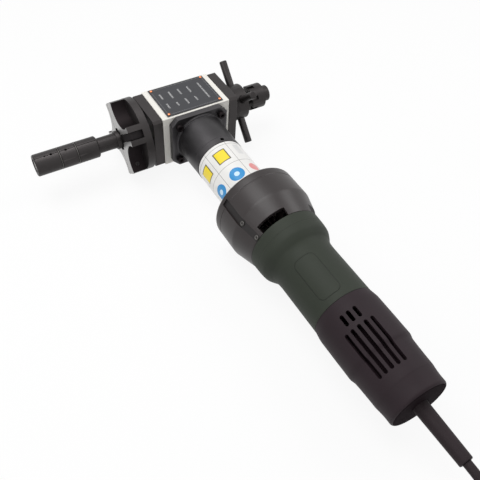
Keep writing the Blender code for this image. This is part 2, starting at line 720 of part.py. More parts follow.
def rear_cover():
    front = HOUSING_END + GAP
    wall_end = REAR_END - REAR_WALL
    bulkhead_end = REAR_BEARING_START + REAR_BEARING_WIDTH
    bearing_seat = REAR_BEARING_RADIUS + GAP
    hole = RELIEF_RADIUS + GAP
    tail = [(REAR_END - along, radius) for along, radius in rounded_end(0, REAR_TAIL_RADIUS, REAR_ROUNDING)]
    cover = turned("rear_cover", "motor", (
        (front, GRIP_RADIUS),
        (REAR_BELLY_START, REAR_BELLY_RADIUS),
        (REAR_BELLY_END, REAR_BELLY_RADIUS),
        (REAR_BUMP, REAR_BUMP_RADIUS),
        (REAR_WAIST, REAR_WAIST_RADIUS),
        (REAR_SHOULDER, REAR_SHOULDER_RADIUS),
        (REAR_TAIL, REAR_TAIL_RADIUS),
        *reversed(tail),
        (REAR_END, hole),
        (wall_end, hole),
        (wall_end, REAR_CHAMBER_RADIUS),
        (bulkhead_end, REAR_CHAMBER_RADIUS),
        (bulkhead_end, bearing_seat),
        (REAR_BEARING_START, bearing_seat),
        (REAR_BEARING_START, REAR_BORE_RADIUS),
        (front, REAR_BORE_RADIUS),
    ), BROWN_PLASTIC, BIG_SIDES, bored=True)
    for face, middle in enumerate(SLOT_FACES, 1):
        for count, start, length, name in (
            (SHORT_SLOT_COUNT, SHORT_SLOT_START, SHORT_SLOT_LENGTH, "short_slot"),
            (LONG_SLOT_COUNT, LONG_SLOT_START, LONG_SLOT_LENGTH, "long_slot"),
        ):
            for k in range(count):
                angle = middle + SLOT_STEP * (k - (count - 1) / 2)
                cut(cover, radial_box(f"{name}_{face}_{k + 1}", "motor", (start, start + length), angle,
                                      REAR_CHAMBER_RADIUS - OVERRUN, REAR_BELLY_RADIUS + OVERRUN, SLOT_WIDTH / 2,
                                      HIDDEN))


def bearing(name, axis, start, width, inner, outer):
    turned(name, axis, ((start, outer), (start + width, outer), (start + width, inner + GAP), (start, inner + GAP)),
           BRIGHT_STEEL, MID_SIDES, bored=True)


def bearings():
    front = -FRONT_PLATE_FACE + SEAT_LIP + GAP
    bearing("spindle_bearing_front", "mandrel", front, BEARING_WIDTH, SPINDLE_RADIUS, BEARING_RADIUS)
    bearing("spindle_bearing_rear", "mandrel", SPINDLE_END - BEARING_WIDTH, BEARING_WIDTH, SPINDLE_RADIUS,
            BEARING_RADIUS)
    bearing("pinion_bearing", "motor", FLANGE_BACK + SEAT_LIP, BEARING_WIDTH, DRIVE_SHAFT_RADIUS,
            NECK_BORE_RADIUS - GAP)
    bearing("armature_bearing_front", "motor", ARMATURE_BEARING_START, ARMATURE_BEARING_WIDTH, SHAFT_RADIUS,
            ARMATURE_BEARING_RADIUS)
    bearing("armature_bearing_rear", "motor", REAR_BEARING_START, REAR_BEARING_WIDTH, SHAFT_RADIUS,
            REAR_BEARING_RADIUS)


def motor_inside():
    turned("stator", "motor", (
        (ARMATURE_START, HOUSING_BORE_RADIUS - GAP),
        (ARMATURE_END, HOUSING_BORE_RADIUS - GAP),
        (ARMATURE_END, ARMATURE_RADIUS + GAP),
        (ARMATURE_START, ARMATURE_RADIUS + GAP),
    ), BRIGHT_STEEL, MID_SIDES, bored=True)
    turned("armature", "motor", (
        (MOTOR_PINION_START, MOTOR_PINION_RADIUS),
        (MOTOR_PINION_END, MOTOR_PINION_RADIUS),
        (MOTOR_PINION_END, SHAFT_RADIUS),
        (ARMATURE_START, SHAFT_RADIUS),
        (ARMATURE_START, ARMATURE_RADIUS),
        (ARMATURE_END, ARMATURE_RADIUS),
        (ARMATURE_END, SHAFT_RADIUS),
        (COMMUTATOR_START, SHAFT_RADIUS),
        (COMMUTATOR_START, COMMUTATOR_RADIUS),
        (COMMUTATOR_END, COMMUTATOR_RADIUS),
        (COMMUTATOR_END, SHAFT_RADIUS),
        (REAR_BEARING_START + REAR_BEARING_WIDTH, SHAFT_RADIUS),
    ), COPPER)
    room = REAR_BORE_RADIUS - GAP * 2
    reach = sqrt(room ** 2 - BRUSH_HALF_HEIGHT ** 2)
    middle = (COMMUTATOR_START + COMMUTATOR_END) / 2
    for k, angle in enumerate((0, 180), 1):
        radial_box(f"brush_holder_{k}", "motor", (middle - BRUSH_HALF_WIDTH, middle + BRUSH_HALF_WIDTH), angle,
                   COMMUTATOR_RADIUS + GAP, reach, BRUSH_HALF_HEIGHT, BRASS)
    cooling_fan()


def cooling_fan():
    outline = []
    half = FAN_BLADE_THICKNESS / 2
    for k in range(FAN_BLADES):
        angle = 360 * k / FAN_BLADES
        for radius, side in ((FAN_HUB_RADIUS, -1), (FAN_RADIUS, -1), (FAN_RADIUS, 1), (FAN_HUB_RADIUS, 1)):
            outline.append(polar("motor", FAN_START, radius, angle + side * 180 / pi * half / radius))
    fan = prism("cooling_fan", outline, (0, -FAN_WIDTH, 0), BLACK_PLASTIC)
    cut(fan, cutter("fan_bore", "motor", FAN_START, FAN_START + FAN_WIDTH, SHAFT_RADIUS + GAP, SMALL_SIDES))


def drive_shaft():
    share = PINION_TEETH / GEAR_TEETH
    inner = SPINDLE_RADIUS + SPINDLE_CLEARANCE
    hub_end = GEAR_PITCH_RADIUS + PINION_HUB_LENGTH
    turned("drive_shaft", "motor", (
        (inner, inner * share - GAP, TOOTH_DEPTH),
        (GEAR_PITCH_RADIUS, GEAR_PITCH_RADIUS * share - GAP, TOOTH_DEPTH),
        (GEAR_PITCH_RADIUS, PINION_HUB_RADIUS),
        (hub_end, PINION_HUB_RADIUS),
        (hub_end, DRIVE_SHAFT_RADIUS),
        (CARRIER_START, DRIVE_SHAFT_RADIUS),
        (CARRIER_START, CARRIER_RADIUS),
        (CARRIER_END, CARRIER_RADIUS),
        (CARRIER_END, CARRIER_BORE_RADIUS),
        (CARRIER_START + CARRIER_WALL, CARRIER_BORE_RADIUS),
    ), BRIGHT_STEEL, PINION_TEETH * 4, teeth=PINION_TEETH)
    turned("bevel_gear", "mandrel", (
        (inner * share + GAP, inner),
        (GEAR_PITCH_RADIUS * share + GAP, GEAR_PITCH_RADIUS, TOOTH_DEPTH),
        (GEAR_BACK, GEAR_PITCH_RADIUS, TOOTH_DEPTH),
        (GEAR_BACK, SPINDLE_RADIUS + GAP),
        (inner * share + GAP, SPINDLE_RADIUS + GAP),
    ), BRIGHT_STEEL, GEAR_TEETH * 4, bored=True, teeth=GEAR_TEETH)


def spindle():
    nose = -HEAD_BACK - HEAD_SEAT_DEPTH + GAP
    shoulder = -HEAD_BACK + GAP
    turned("spindle", "mandrel", (
        (nose, HEAD_SEAT_RADIUS - GAP),
        (shoulder, HEAD_SEAT_RADIUS - GAP),
        (shoulder, SPINDLE_RADIUS),
        (SPINDLE_END, SPINDLE_RADIUS),
        (SPINDLE_END, SPINDLE_BORE_RADIUS),
        (shoulder, SPINDLE_BORE_RADIUS),
        (shoulder, HEAD_BORE_RADIUS),
        (nose, HEAD_BORE_RADIUS),
    ), BRIGHT_STEEL, MID_SIDES, bored=True)


def cutter_head():
    flange_front = -HEAD_BACK - HEAD_FLANGE_THICKNESS
    head = turned("cutter_head", "mandrel", (
        (-HEAD_FRONT, HEAD_RADIUS),
        (-HEAD_BACK, HEAD_RADIUS),
    ), BLACK_STEEL, BIG_SIDES)
    for k in range(LOBE_COUNT):
        angle = LOBE_ANGLE + 360 * k / LOBE_COUNT
        cut(head, scallop(f"scallop_{k + 1}", angle + 180 / LOBE_COUNT, flange_front))
        cut(head, radial_box(f"tool_slot_{k + 1}", "mandrel", (-HEAD_FRONT - OVERRUN, flange_front), angle,
                             HEAD_BORE_RADIUS - OVERRUN, HEAD_RADIUS + OVERRUN, TOOL_WIDTH / 2 + GAP, HIDDEN))
        tool_bit(k + 1, angle, flange_front - GAP)
        tool_screw(k + 1, angle, head)
    cut(head, cutter("head_bore", "mandrel", -HEAD_FRONT, -HEAD_BACK, HEAD_BORE_RADIUS))
    cut(head, turned("head_seat", "mandrel", (
        (-HEAD_BACK - HEAD_SEAT_DEPTH, HEAD_SEAT_RADIUS),
        (-HEAD_BACK + OVERRUN, HEAD_SEAT_RADIUS),
    ), HIDDEN))


def scallop(name, angle, back):
    """The round hollow between two lobes, down to the core of the head."""
    half_gap = radians(180 / LOBE_COUNT - LOBE_SPAN / 2)
    depth = HEAD_RADIUS * cos(half_gap) - HEAD_CORE_RADIUS
    distance = (HEAD_RADIUS ** 2 - HEAD_CORE_RADIUS ** 2) / (2 * depth)
    front = -HEAD_FRONT - OVERRUN
    radius = distance - HEAD_CORE_RADIUS
    return bar(name, polar("mandrel", front, distance, angle), Vector((1, 0, 0)), (
        (0, radius), (back - front, radius)), HIDDEN, MID_SIDES)


def tool_bit(number, angle, floor):
    """A cutting bit that lies in its slot with its nose standing out of the face of the head."""
    side = polar("mandrel", 0, 1, angle + 90)
    corners = (
        (floor, TOOL_INNER_RADIUS),
        (floor, TOOL_OUTER_RADIUS),
        (-HEAD_FRONT + TOOL_BACK_SLOPE, TOOL_OUTER_RADIUS),
        (-HEAD_FRONT - TOOL_NOSE, TOOL_INNER_RADIUS + TOOL_NOSE_WIDTH),
        (-HEAD_FRONT - TOOL_NOSE, TOOL_INNER_RADIUS),
    )
    outline = [polar("mandrel", station, radius, angle) - side * TOOL_WIDTH / 2 for station, radius in corners]
    prism(f"tool_bit_{number}", outline, side * TOOL_WIDTH, BRIGHT_STEEL)


def tool_screw(number, angle, head):
    """A clamp screw that presses the bit against the far wall of its slot."""
    side = polar("mandrel", 0, 1, angle + 90)
    station = -(HEAD_BACK + HEAD_FLANGE_THICKNESS + HEAD_FRONT) / 2
    base = polar("mandrel", station, TOOL_SCREW_FROM_AXIS, angle) + side * (TOOL_WIDTH / 2 + GAP)
    cut(head, bar(f"tool_screw_hole_{number}", base, side, (
        (-GAP, TOOL_SCREW_RADIUS + GAP), (HEAD_CORE_RADIUS, TOOL_SCREW_RADIUS + GAP)), HIDDEN))
    screw = bar(f"tool_screw_{number}", base, side, (
        (0, TOOL_SCREW_RADIUS), (TOOL_SCREW_LENGTH, TOOL_SCREW_RADIUS)), BLACK_STEEL)
    cut(screw, bar(f"tool_screw_socket_{number}", base, side, (
        (TOOL_SCREW_LENGTH - SOCKET_DEPTH, TOOL_SCREW_RADIUS / 2),
        (TOOL_SCREW_LENGTH + OVERRUN, TOOL_SCREW_RADIUS / 2)), HIDDEN, HEX_SIDES))


def feed_wheel():
    bore = MANDREL_THREAD_RADIUS + GAP
    sleeve_end = FEED_HUB_START - FEED_SLEEVE_DEPTH
    hub = turned("feed_hub", "mandrel", (
        (sleeve_end, FEED_SLEEVE_RADIUS),
        (FEED_HUB_START, FEED_SLEEVE_RADIUS),
        (FEED_HUB_START, FEED_HUB_RADIUS - FEED_HUB_EDGE),
        (FEED_HUB_START + FEED_HUB_EDGE, FEED_HUB_RADIUS),
        (FEED_HUB_END - FEED_HUB_EDGE, FEED_HUB_RADIUS),
        (FEED_HUB_END, FEED_HUB_RADIUS - FEED_HUB_EDGE),
        (FEED_HUB_END, bore),
        (sleeve_end, bore),
    ), BLACK_STEEL, BIG_SIDES, bored=True)
    middle = (FEED_HUB_START + FEED_HUB_END) / 2
    for k in range(SPOKE_COUNT):
        angle = SPOKE_ANGLE + 360 * k / SPOKE_COUNT
        base = polar("mandrel", middle, 0, 0)
        out = polar("mandrel", 0, 1, angle)
        cut(hub, bar(f"spoke_hole_{k + 1}", base, out, (
            (SPOKE_ROOT - GAP, SPOKE_RADIUS + GAP), (FEED_HUB_RADIUS + OVERRUN, SPOKE_RADIUS + GAP)), HIDDEN))
        bar(f"spoke_{k + 1}", base, out, (
            (SPOKE_ROOT, SPOKE_RADIUS),
            (SPOKE_TIP - SPOKE_ROUNDING, SPOKE_RADIUS),
            (SPOKE_TIP, SPOKE_RADIUS - SPOKE_ROUNDING),
        ), BLACK_STEEL)


def mandrel():
    inner = -SHOE_START + GAP
    bore = ROD_RADIUS + GAP
    collar_right = -HEAD_FRONT - MANDREL_COLLAR_GAP
    collar_left = collar_right - MANDREL_COLLAR_WIDTH
    rear = KNOB_START - GAP
    turned("mandrel_shaft", "mandrel", (
        (inner, MANDREL_RADIUS),
        (collar_left, MANDREL_RADIUS),
        (collar_left, MANDREL_COLLAR_RADIUS),
        (collar_right, MANDREL_COLLAR_RADIUS),
        (collar_right, MANDREL_RADIUS),
        (MANDREL_THREAD_START, MANDREL_RADIUS),
        (MANDREL_THREAD_START, MANDREL_THREAD_RADIUS),
        (rear, MANDREL_THREAD_RADIUS),
        (rear, bore),
        (inner, bore),
    ), BLACK_STEEL, MID_SIDES, bored=True)
    for k, station in enumerate(SHOE_GROOVES, 1):
        profile = []
        for step in range(RING_SPRING_STEPS):
            angle = FULL_TURN * step / RING_SPRING_STEPS
            along = RING_WIRE_RADIUS * sin(angle)
            profile.append((-station + along, RING_SPRING_RADIUS + RING_WIRE_RADIUS * cos(angle)))
        turned(f"ring_spring_{k}", "mandrel", profile, BRIGHT_STEEL, MID_SIDES, bored=True)
    for k in range(SHOE_COUNT):
        shoe(f"shoe_{k + 1}", SHOE_ANGLE + 360 * k / SHOE_COUNT)


def shoe(name, middle):
    """One third of the expanding sleeve, with a tapered inside that the cone of the draw rod spreads."""
    half = 180 / SHOE_COUNT - 180 / pi * SHOE_SLIT / 2 / SHOE_RADIUS
    stops = [(MANDREL_TIP, SHOE_RADIUS - SHOE_CHAMFER), (MANDREL_TIP - SHOE_CHAMFER, SHOE_RADIUS)]
    for groove in reversed(SHOE_GROOVES):
        wall = SHOE_GROOVE_WIDTH / 2
        stops += [
            (groove + wall, SHOE_RADIUS),
            (groove + wall - GAP, SHOE_GROOVE_RADIUS),
            (groove - wall + GAP, SHOE_GROOVE_RADIUS),
            (groove - wall, SHOE_RADIUS),
        ]
    stops += [(ROD_CONE_START, SHOE_RADIUS), (SHOE_START + SHOE_CHAMFER, SHOE_RADIUS),
              (SHOE_START, SHOE_RADIUS - SHOE_CHAMFER)]
    bm = bmesh.new()
    loops = []
    for distance, outer in stops:
        inner = ROD_RADIUS + GAP + ROD_CONE_SLOPE * max(0, distance - ROD_CONE_START)
        loop = []
        for k in range(SHOE_STEPS + 1):
            loop.append(bm.verts.new(polar("mandrel", -distance, outer, middle + half * (2 * k / SHOE_STEPS - 1))))
        for k in range(SHOE_STEPS + 1):
            loop.append(bm.verts.new(polar("mandrel", -distance, inner, middle + half * (1 - 2 * k / SHOE_STEPS))))
        loops.append(loop)
    for first, second in zip(loops, loops[1:]):
        bridge(bm, first, second)
    bm.faces.new(loops[0])
    bm.faces.new(loops[-1])
    return add_object(name, bm, BLACK_STEEL)


def clamp():
    bore = ROD_RADIUS + GAP
    knob = turned("clamp_knob", "mandrel", (
        *rounded_end(KNOB_START, KNOB_RADIUS, KNOB_ROUNDING),
        *[(2 * KNOB_END - station, radius) for station, radius in reversed(
            rounded_end(KNOB_END, KNOB_RADIUS, KNOB_ROUNDING))],
        (KNOB_END, bore),
        (KNOB_START, bore),
    ), BLACK_STEEL, BIG_SIDES, bored=True)
    for k in range(KNOB_NOTCHES):
        cut(knob, radial_box(f"knob_notch_{k + 1}", "mandrel", (KNOB_START - OVERRUN, KNOB_START + KNOB_NOTCH_LENGTH),
                             360 * (k + 1 / 2) / KNOB_NOTCHES, KNOB_RADIUS - KNOB_NOTCH_DEPTH, KNOB_RADIUS + OVERRUN,
                             KNOB_NOTCH_WIDTH / 2, HIDDEN))
    tip = MANDREL_TIP - SHOE_CHAMFER
    turned("draw_rod", "mandrel", (
        (-tip, ROD_RADIUS + ROD_CONE_SLOPE * (tip - ROD_CONE_START)),
        (-ROD_CONE_START, ROD_RADIUS),
        (ROD_END - BLOCK_EDGE, ROD_RADIUS),
    ), BRIGHT_STEEL)
    turned("rod_end_nut", "mandrel", (
        (KNOB_END + END_NUT_GAP, END_NUT_RADIUS),
        (ROD_END - BLOCK_EDGE, END_NUT_RADIUS),
        (ROD_END, END_NUT_RADIUS - BLOCK_EDGE),
        (ROD_END, bore),
        (KNOB_END + END_NUT_GAP, bore),
    ), BLACK_STEEL, MID_SIDES, bored=True)


def strain_relief():
    flange_end = REAR_END - REAR_WALL - GAP
    turned("strain_relief", "motor", (
        (flange_end - RELIEF_FLANGE_LENGTH, RELIEF_FLANGE_RADIUS),
        (flange_end, RELIEF_FLANGE_RADIUS),
        (flange_end, RELIEF_RADIUS),
        (REAR_END, RELIEF_RADIUS),
        (RELIEF_END, RELIEF_TIP_RADIUS),
    ), RUBBER, MID_SIDES)


def smooth_route(points, step):
    """Points about one step apart on a smooth curve through the route's own points."""
    route = [Vector(point) for point in points]
    tangents = []
    for k, point in enumerate(route):
        before = route[max(k - 1, 0)]
        after = route[min(k + 1, len(route) - 1)]
        tangents.append((after - before) / 6)
    tangents[0] = Vector((0, -(route[1] - route[0]).length / 3, 0))
    tangents[-1] = Vector((0, -(route[-1] - route[-2]).length / 3, 0))
    fine = [route[0]]
    for k in range(len(route) - 1):
        piece = interpolate_bezier(route[k], route[k] + tangents[k], route[k + 1] - tangents[k + 1], route[k + 1],
                                   ROUTE_FINENESS)
        fine += piece[1:]
    lengths = [0.0]
    for first, second in zip(fine, fine[1:]):
        lengths.append(lengths[-1] + (second - first).length)
    count = round(lengths[-1] / step)
    chosen = []
    for k in range(count + 1):
        target = lengths[-1] * k / count
        index = min(range(len(lengths)), key=lambda i: abs(lengths[i] - target))
        chosen.append(fine[index])
    return chosen


def tube(name, points, radius, resolution, material):
    curve = bpy.data.curves.new(name, "CURVE")
    curve.dimensions = "3D"
    curve.bevel_depth = radius
    curve.bevel_resolution = resolution
    curve.use_fill_caps = True
    spline = curve.splines.new("POLY")
    spline.points.add(len(points) - 1)
    for place, point in zip(spline.points, points):
        place.co = (*point, 1)
    curve.materials.append(material)
    piece = bpy.data.objects.new(name, curve)
    piece.location = CROSSING
    bpy.context.scene.collection.objects.link(piece)
    return piece


def coil_start():
    """Where the cord, after a short straight run, goes over into the coil."""
    return Vector(CORD_ROUTE[-1]) + Vector((0, -2 * CORD_RADIUS, 0))


def coil_radius(turns):
    """Distance of the cord from the middle of the coil, so many turns before or after the spiral reverses."""
    return COIL_INNER_RADIUS + COIL_PITCH * (hypot(turns, COIL_EASE_TURNS) - COIL_EASE_TURNS)


def coil_point(turns):
    """A point of the coil: in along the lower layer, up in the half turn at the middle, out along the upper."""
    start = coil_start()
    centre_x = start.x + coil_radius(COIL_LAYER_TURNS)
    centre_y = start.y - 2 * CORD_RADIUS
    radius = coil_radius(turns)
    climb = min(max(turns / COIL_CLIMB_TURNS + 1 / 2, 0), 1)
    height = start.z + COIL_PITCH * (1 - cos(pi * climb)) / 2
    tail = max(turns - COIL_LAYER_TURNS, 0) / COIL_TAIL_TURNS
    radius += COIL_TAIL_SPREAD * tail ** 2
    height += (plug_height() - COIL_PITCH - start.z) * tail ** 2
    angle = pi + FULL_TURN * (turns + COIL_LAYER_TURNS)
    return Vector((centre_x + radius * cos(angle), centre_y + radius * sin(angle), height))


def plug_height():
    return FLOOR + PLUG_RADIUS + GAP


def coil_points(per_loop):
    last = COIL_LAYER_TURNS + COIL_TAIL_TURNS
    count = round((last + COIL_LAYER_TURNS) * per_loop)
    return [coil_point(-COIL_LAYER_TURNS + (last + COIL_LAYER_TURNS) * k / count) for k in range(count + 1)]


def least_coil_gap():
    """The smallest gap between turns, on points four times as close as the tube's own."""
    per_loop = COIL_LOOP_POINTS * 4
    points = coil_points(per_loop)
    least = COIL_INNER_RADIUS
    for k, point in enumerate(points):
        for other in points[k + per_loop * 5 // 8:]:
            least = min(least, dist(point, other))
    return least - 2 * CORD_RADIUS


def cord_and_coil():
    start = coil_start()
    tube("cord", [*smooth_route(CORD_ROUTE, CORD_STEP), start], CORD_RADIUS, 2, RUBBER)
    points = coil_points(COIL_LOOP_POINTS)
    heading = (points[-1] - points[-2]).normalized()
    heading.z = 0
    heading.normalize()
    end = points[-1] + heading * 2 * CORD_RADIUS
    points = [start + Vector((0, -GAP, 0)), *points, end]
    tube("cord_coil", points, CORD_RADIUS, 1, RUBBER)
    print(f"least gap of the coil to itself: {least_coil_gap() * 1000:.2f} mm")
    cord_tie(start)
    plug(end + heading * GAP, heading)


def cord_tie(start):
    """A flat band round all the turns, on the side of the coil away from the machine."""
    half = TIE_WIDTH / 2
    inner_turn = min(abs(turns) for turns in tie_turns())
    outer_turn = max(abs(turns) for turns in tie_turns())
    near = sqrt((coil_radius(inner_turn) - CORD_RADIUS) ** 2 - half ** 2) - 2 * GAP
    far = coil_radius(outer_turn) + CORD_RADIUS + 2 * GAP
    low = start.z - CORD_RADIUS - GAP
    high = start.z + COIL_PITCH + CORD_RADIUS + GAP
    middle_x = start.x + coil_radius(COIL_LAYER_TURNS)
    middle_y = start.y - 2 * CORD_RADIUS
    band = box("cord_tie", (middle_x - half, middle_y - far - TIE_WALL, low - TIE_WALL),
               (middle_x + half, middle_y - near + TIE_WALL, high + TIE_WALL), BLACK_PLASTIC)
    cut(band, box("tie_window", (middle_x - half - OVERRUN, middle_y - far, low),
                  (middle_x + half + OVERRUN, middle_y - near, high), HIDDEN))


def tie_turns():
    """Where each turn passes under the tie, a quarter turn after the cord has joined the coil."""
    first = -COIL_LAYER_TURNS + 1 / 4
    return [first + k for k in range(int(2 * COIL_LAYER_TURNS))]


def plug(face, heading):
    body = bar("plug", face, heading, (
        (0, PLUG_NECK_RADIUS),
        (PLUG_NECK_LENGTH, PLUG_NECK_RADIUS + PLUG_EDGE),
        (PLUG_LENGTH - PLUG_NECK_LENGTH, PLUG_RADIUS - PLUG_EDGE),
        (PLUG_LENGTH - PLUG_NECK_LENGTH + PLUG_EDGE, PLUG_RADIUS),
        (PLUG_LENGTH - PLUG_EDGE, PLUG_RADIUS),
        (PLUG_LENGTH, PLUG_RADIUS - PLUG_EDGE),
    ), RUBBER, MID_SIDES)
    side = Vector((-heading.y, heading.x, 0))
    for k, reach in enumerate((-PLUG_PIN_SPACING / 2, PLUG_PIN_SPACING / 2), 1):
        join(body, bar(f"plug_pin_{k}", face + side * reach, heading, (
            (PLUG_LENGTH - PLUG_NECK_LENGTH, PLUG_PIN_RADIUS),
            (PLUG_LENGTH + PLUG_PIN_LENGTH - PLUG_EDGE / 2, PLUG_PIN_RADIUS),
            (PLUG_LENGTH + PLUG_PIN_LENGTH, PLUG_PIN_RADIUS / 2),
        ), HIDDEN))


clear_scene()
HIDDEN = finish("cutter", (1, 0, 0), 1)
PALE_PAINT = finish("pale_paint", (0.82, 0.80, 0.76), 0.45)
BLACK_STEEL = finish("black_steel", (0.045, 0.042, 0.042), 0.45, 0.6)
BRIGHT_STEEL = finish("bright_steel", (0.6, 0.59, 0.57), 0.35, 1.0)
GREY_PLATE = finish("grey_plate", (0.16, 0.17, 0.18), 0.4, 0.5)
COPPER = finish("copper", (0.75, 0.36, 0.22), 0.35, 1.0)
BRASS = finish("brass", (0.75, 0.56, 0.25), 0.4, 1.0)
WHITE_SLEEVE = finish("white_sleeve", (0.82, 0.82, 0.8), 0.4)
BLACK_PLASTIC = finish("black_plastic", (0.04, 0.038, 0.038), 0.45)
GREEN_PLASTIC = finish("green_plastic", (0.045, 0.062, 0.05), 0.5)
BROWN_PLASTIC = finish("brown_plastic", (0.035, 0.026, 0.027), 0.5)
RUBBER = finish("rubber", (0.03, 0.027, 0.028), 0.65)
gearbox_block()
front_end_plate()
rear_end_plate()
nameplate()
neck_flange()
neck_rings()
gear_cover()
motor_housing()
rear_cover()
bearings()
motor_inside()
drive_shaft()
spindle()
cutter_head()
feed_wheel()
mandrel()
clamp()
strain_relief()
cord_and_coil()
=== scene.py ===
import json
from collections import namedtuple
from math import cos, degrees, hypot, pi, radians, sin, sqrt

import bmesh
import bpy
from mathutils import Matrix, Vector
from mathutils.geometry import interpolate_bezier


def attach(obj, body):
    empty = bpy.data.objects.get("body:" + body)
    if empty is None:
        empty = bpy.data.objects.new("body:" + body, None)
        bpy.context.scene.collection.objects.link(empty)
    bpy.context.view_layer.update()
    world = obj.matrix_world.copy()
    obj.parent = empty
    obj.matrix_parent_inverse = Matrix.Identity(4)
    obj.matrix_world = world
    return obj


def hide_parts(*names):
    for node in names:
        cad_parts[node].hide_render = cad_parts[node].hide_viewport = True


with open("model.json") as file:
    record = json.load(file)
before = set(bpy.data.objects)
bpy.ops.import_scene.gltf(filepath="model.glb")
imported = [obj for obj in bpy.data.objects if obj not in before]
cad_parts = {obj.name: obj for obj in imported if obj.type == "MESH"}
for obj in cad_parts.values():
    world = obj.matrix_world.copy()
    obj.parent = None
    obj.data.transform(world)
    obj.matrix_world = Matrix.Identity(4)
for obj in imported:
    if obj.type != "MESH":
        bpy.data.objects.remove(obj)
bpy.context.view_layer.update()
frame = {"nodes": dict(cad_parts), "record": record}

SCENE = bpy.context.scene
SCENE.view_settings.view_transform = "Standard"

# The mandrel axis (X) and the motor axis (Y) cross here; every place below is counted from it.
CROSSING = Vector(frame["record"]["behaviour"]["joints"][0]["pos_m"])
FULL_TURN = 2 * pi
GAP = 0.0003
OVERRUN = 0.002
FINE_SIDES = 96
SMALL_SIDES = 32
EDGE_ANGLE = radians(32)
SHARP_ANGLE = radians(46)

# Camera, as it stood over the machine
CAMERA_OFFSET = Vector((-0.2551, -0.5190, 0.4520))
CAMERA_AIM = Vector((-0.0394, -0.1954, 0.0))
CAMERA_ROLL = radians(4.217)
CAMERA_LENS = 45.16
CAMERA_NEAR = 0.01
SENSOR = 36

# Light and floor. A lamp is its name, place, size and power.
SURROUNDINGS_LIGHT = 0.34
LAMP_AIM = Vector((0, -0.2, 0))
LAMPS = (
    ("lamp_above", (-0.25, 0.15, 1.1), 0.9, 8.5),
    ("lamp_left", (-1.0, -0.5, 0.8), 0.7, 3),
    ("lamp_right", (0.9, -0.2, 0.9), 0.6, 3.8),
)
FLOOR_GREY = 0.86
FLOOR_TONES = (0.84, 0.88)
FLOOR_CLOUD = (3, 3)
FLOOR_ROUGHNESS = 0.6
FLOOR_WHITENESS = 0.9
FLOOR_HALF_WIDTH = 6


def grey(value):
    return (value, value, value, 1)


def place_camera():
    camera = bpy.data.objects.new("camera", bpy.data.cameras.new("camera"))
    camera.data.lens = CAMERA_LENS
    camera.data.sensor_width = SENSOR
    camera.data.clip_start = CAMERA_NEAR
    camera.location = CROSSING + CAMERA_OFFSET
    back = (CAMERA_OFFSET - CAMERA_AIM).normalized()
    turn = back.to_track_quat("Z", "Y").to_matrix() @ Matrix.Rotation(CAMERA_ROLL, 3, "Z")
    camera.rotation_euler = turn.to_euler()
    SCENE.collection.objects.link(camera)
    SCENE.camera = camera


def soft_light(name, place, size, power):
    lamp = bpy.data.objects.new(name, bpy.data.lights.new(name, "AREA"))
    lamp.data.shape = "DISK"
    lamp.data.size = size
    lamp.data.energy = power
    lamp.location = CROSSING + Vector(place)
    lamp.rotation_euler = (Vector(place) - LAMP_AIM).to_track_quat("Z", "Y").to_euler()
    SCENE.collection.objects.link(lamp)


def background_rays(tree):
    """A socket that is 1 for the rays that see the background, straight, mirrored or through glass."""
    path = tree.nodes.new("ShaderNodeLightPath")
    seen = path.outputs["Is Camera Ray"]
    for kind in ("Is Glossy Ray", "Is Transmission Ray"):
        either = tree.nodes.new("ShaderNodeMath")
        either.operation = "MAXIMUM"
        tree.links.new(seen, either.inputs[0])
        tree.links.new(path.outputs[kind], either.inputs[1])
        seen = either.outputs[0]
    return seen


def white_surroundings():
    """White where it is seen, dimmer where it lights the machine."""
    world = bpy.data.worlds.new("surroundings")
    SCENE.world = world
    world.use_nodes = True
    nodes = world.node_tree.nodes
    links = world.node_tree.links
    choice = nodes.new("ShaderNodeMixShader")
    links.new(background_rays(world.node_tree), choice.inputs[0])
    lights = ((nodes.new("ShaderNodeBackground"), SURROUNDINGS_LIGHT), (nodes["Background"], 1))
    for side, (light, strength) in enumerate(lights, 1):
        light.inputs["Color"].default_value = grey(1)
        light.inputs["Strength"].default_value = strength
        links.new(light.outputs[0], choice.inputs[side])
    links.new(choice.outputs[0], nodes["World Output"].inputs["Surface"])


def studio_floor():
    """A wide pale floor under the machine, white to the camera but for a faint shadow."""
    shade = Shade("studio_floor", (FLOOR_GREY,) * 3, FLOOR_ROUGHNESS)
    low, high = FLOOR_TONES
    shade.set("Base Color", shade.mix(grey(low), grey(high), shade.noise(*FLOOR_CLOUD)))
    glow = shade.node("ShaderNodeEmission", None, {"Color": grey(1)})
    ray = Sock(shade, background_rays(shade.material.node_tree))
    principled = Sock(shade, shade.shader.outputs[0])
    blend = shade.node("ShaderNodeMixShader", None, {0: ray * FLOOR_WHITENESS, 1: principled, 2: glow})
    shade.feed(shade.nodes["Material Output"].inputs["Surface"], blend)
    bm = bmesh.new()
    bmesh.ops.create_grid(bm, x_segments=1, y_segments=1, size=FLOOR_HALF_WIDTH)
    mesh = bpy.data.meshes.new("studio_floor")
    bm.to_mesh(mesh)
    bm.free()
    mesh.materials.append(shade.material)
    floor = bpy.data.objects.new("studio_floor", mesh)
    SCENE.collection.objects.link(floor)


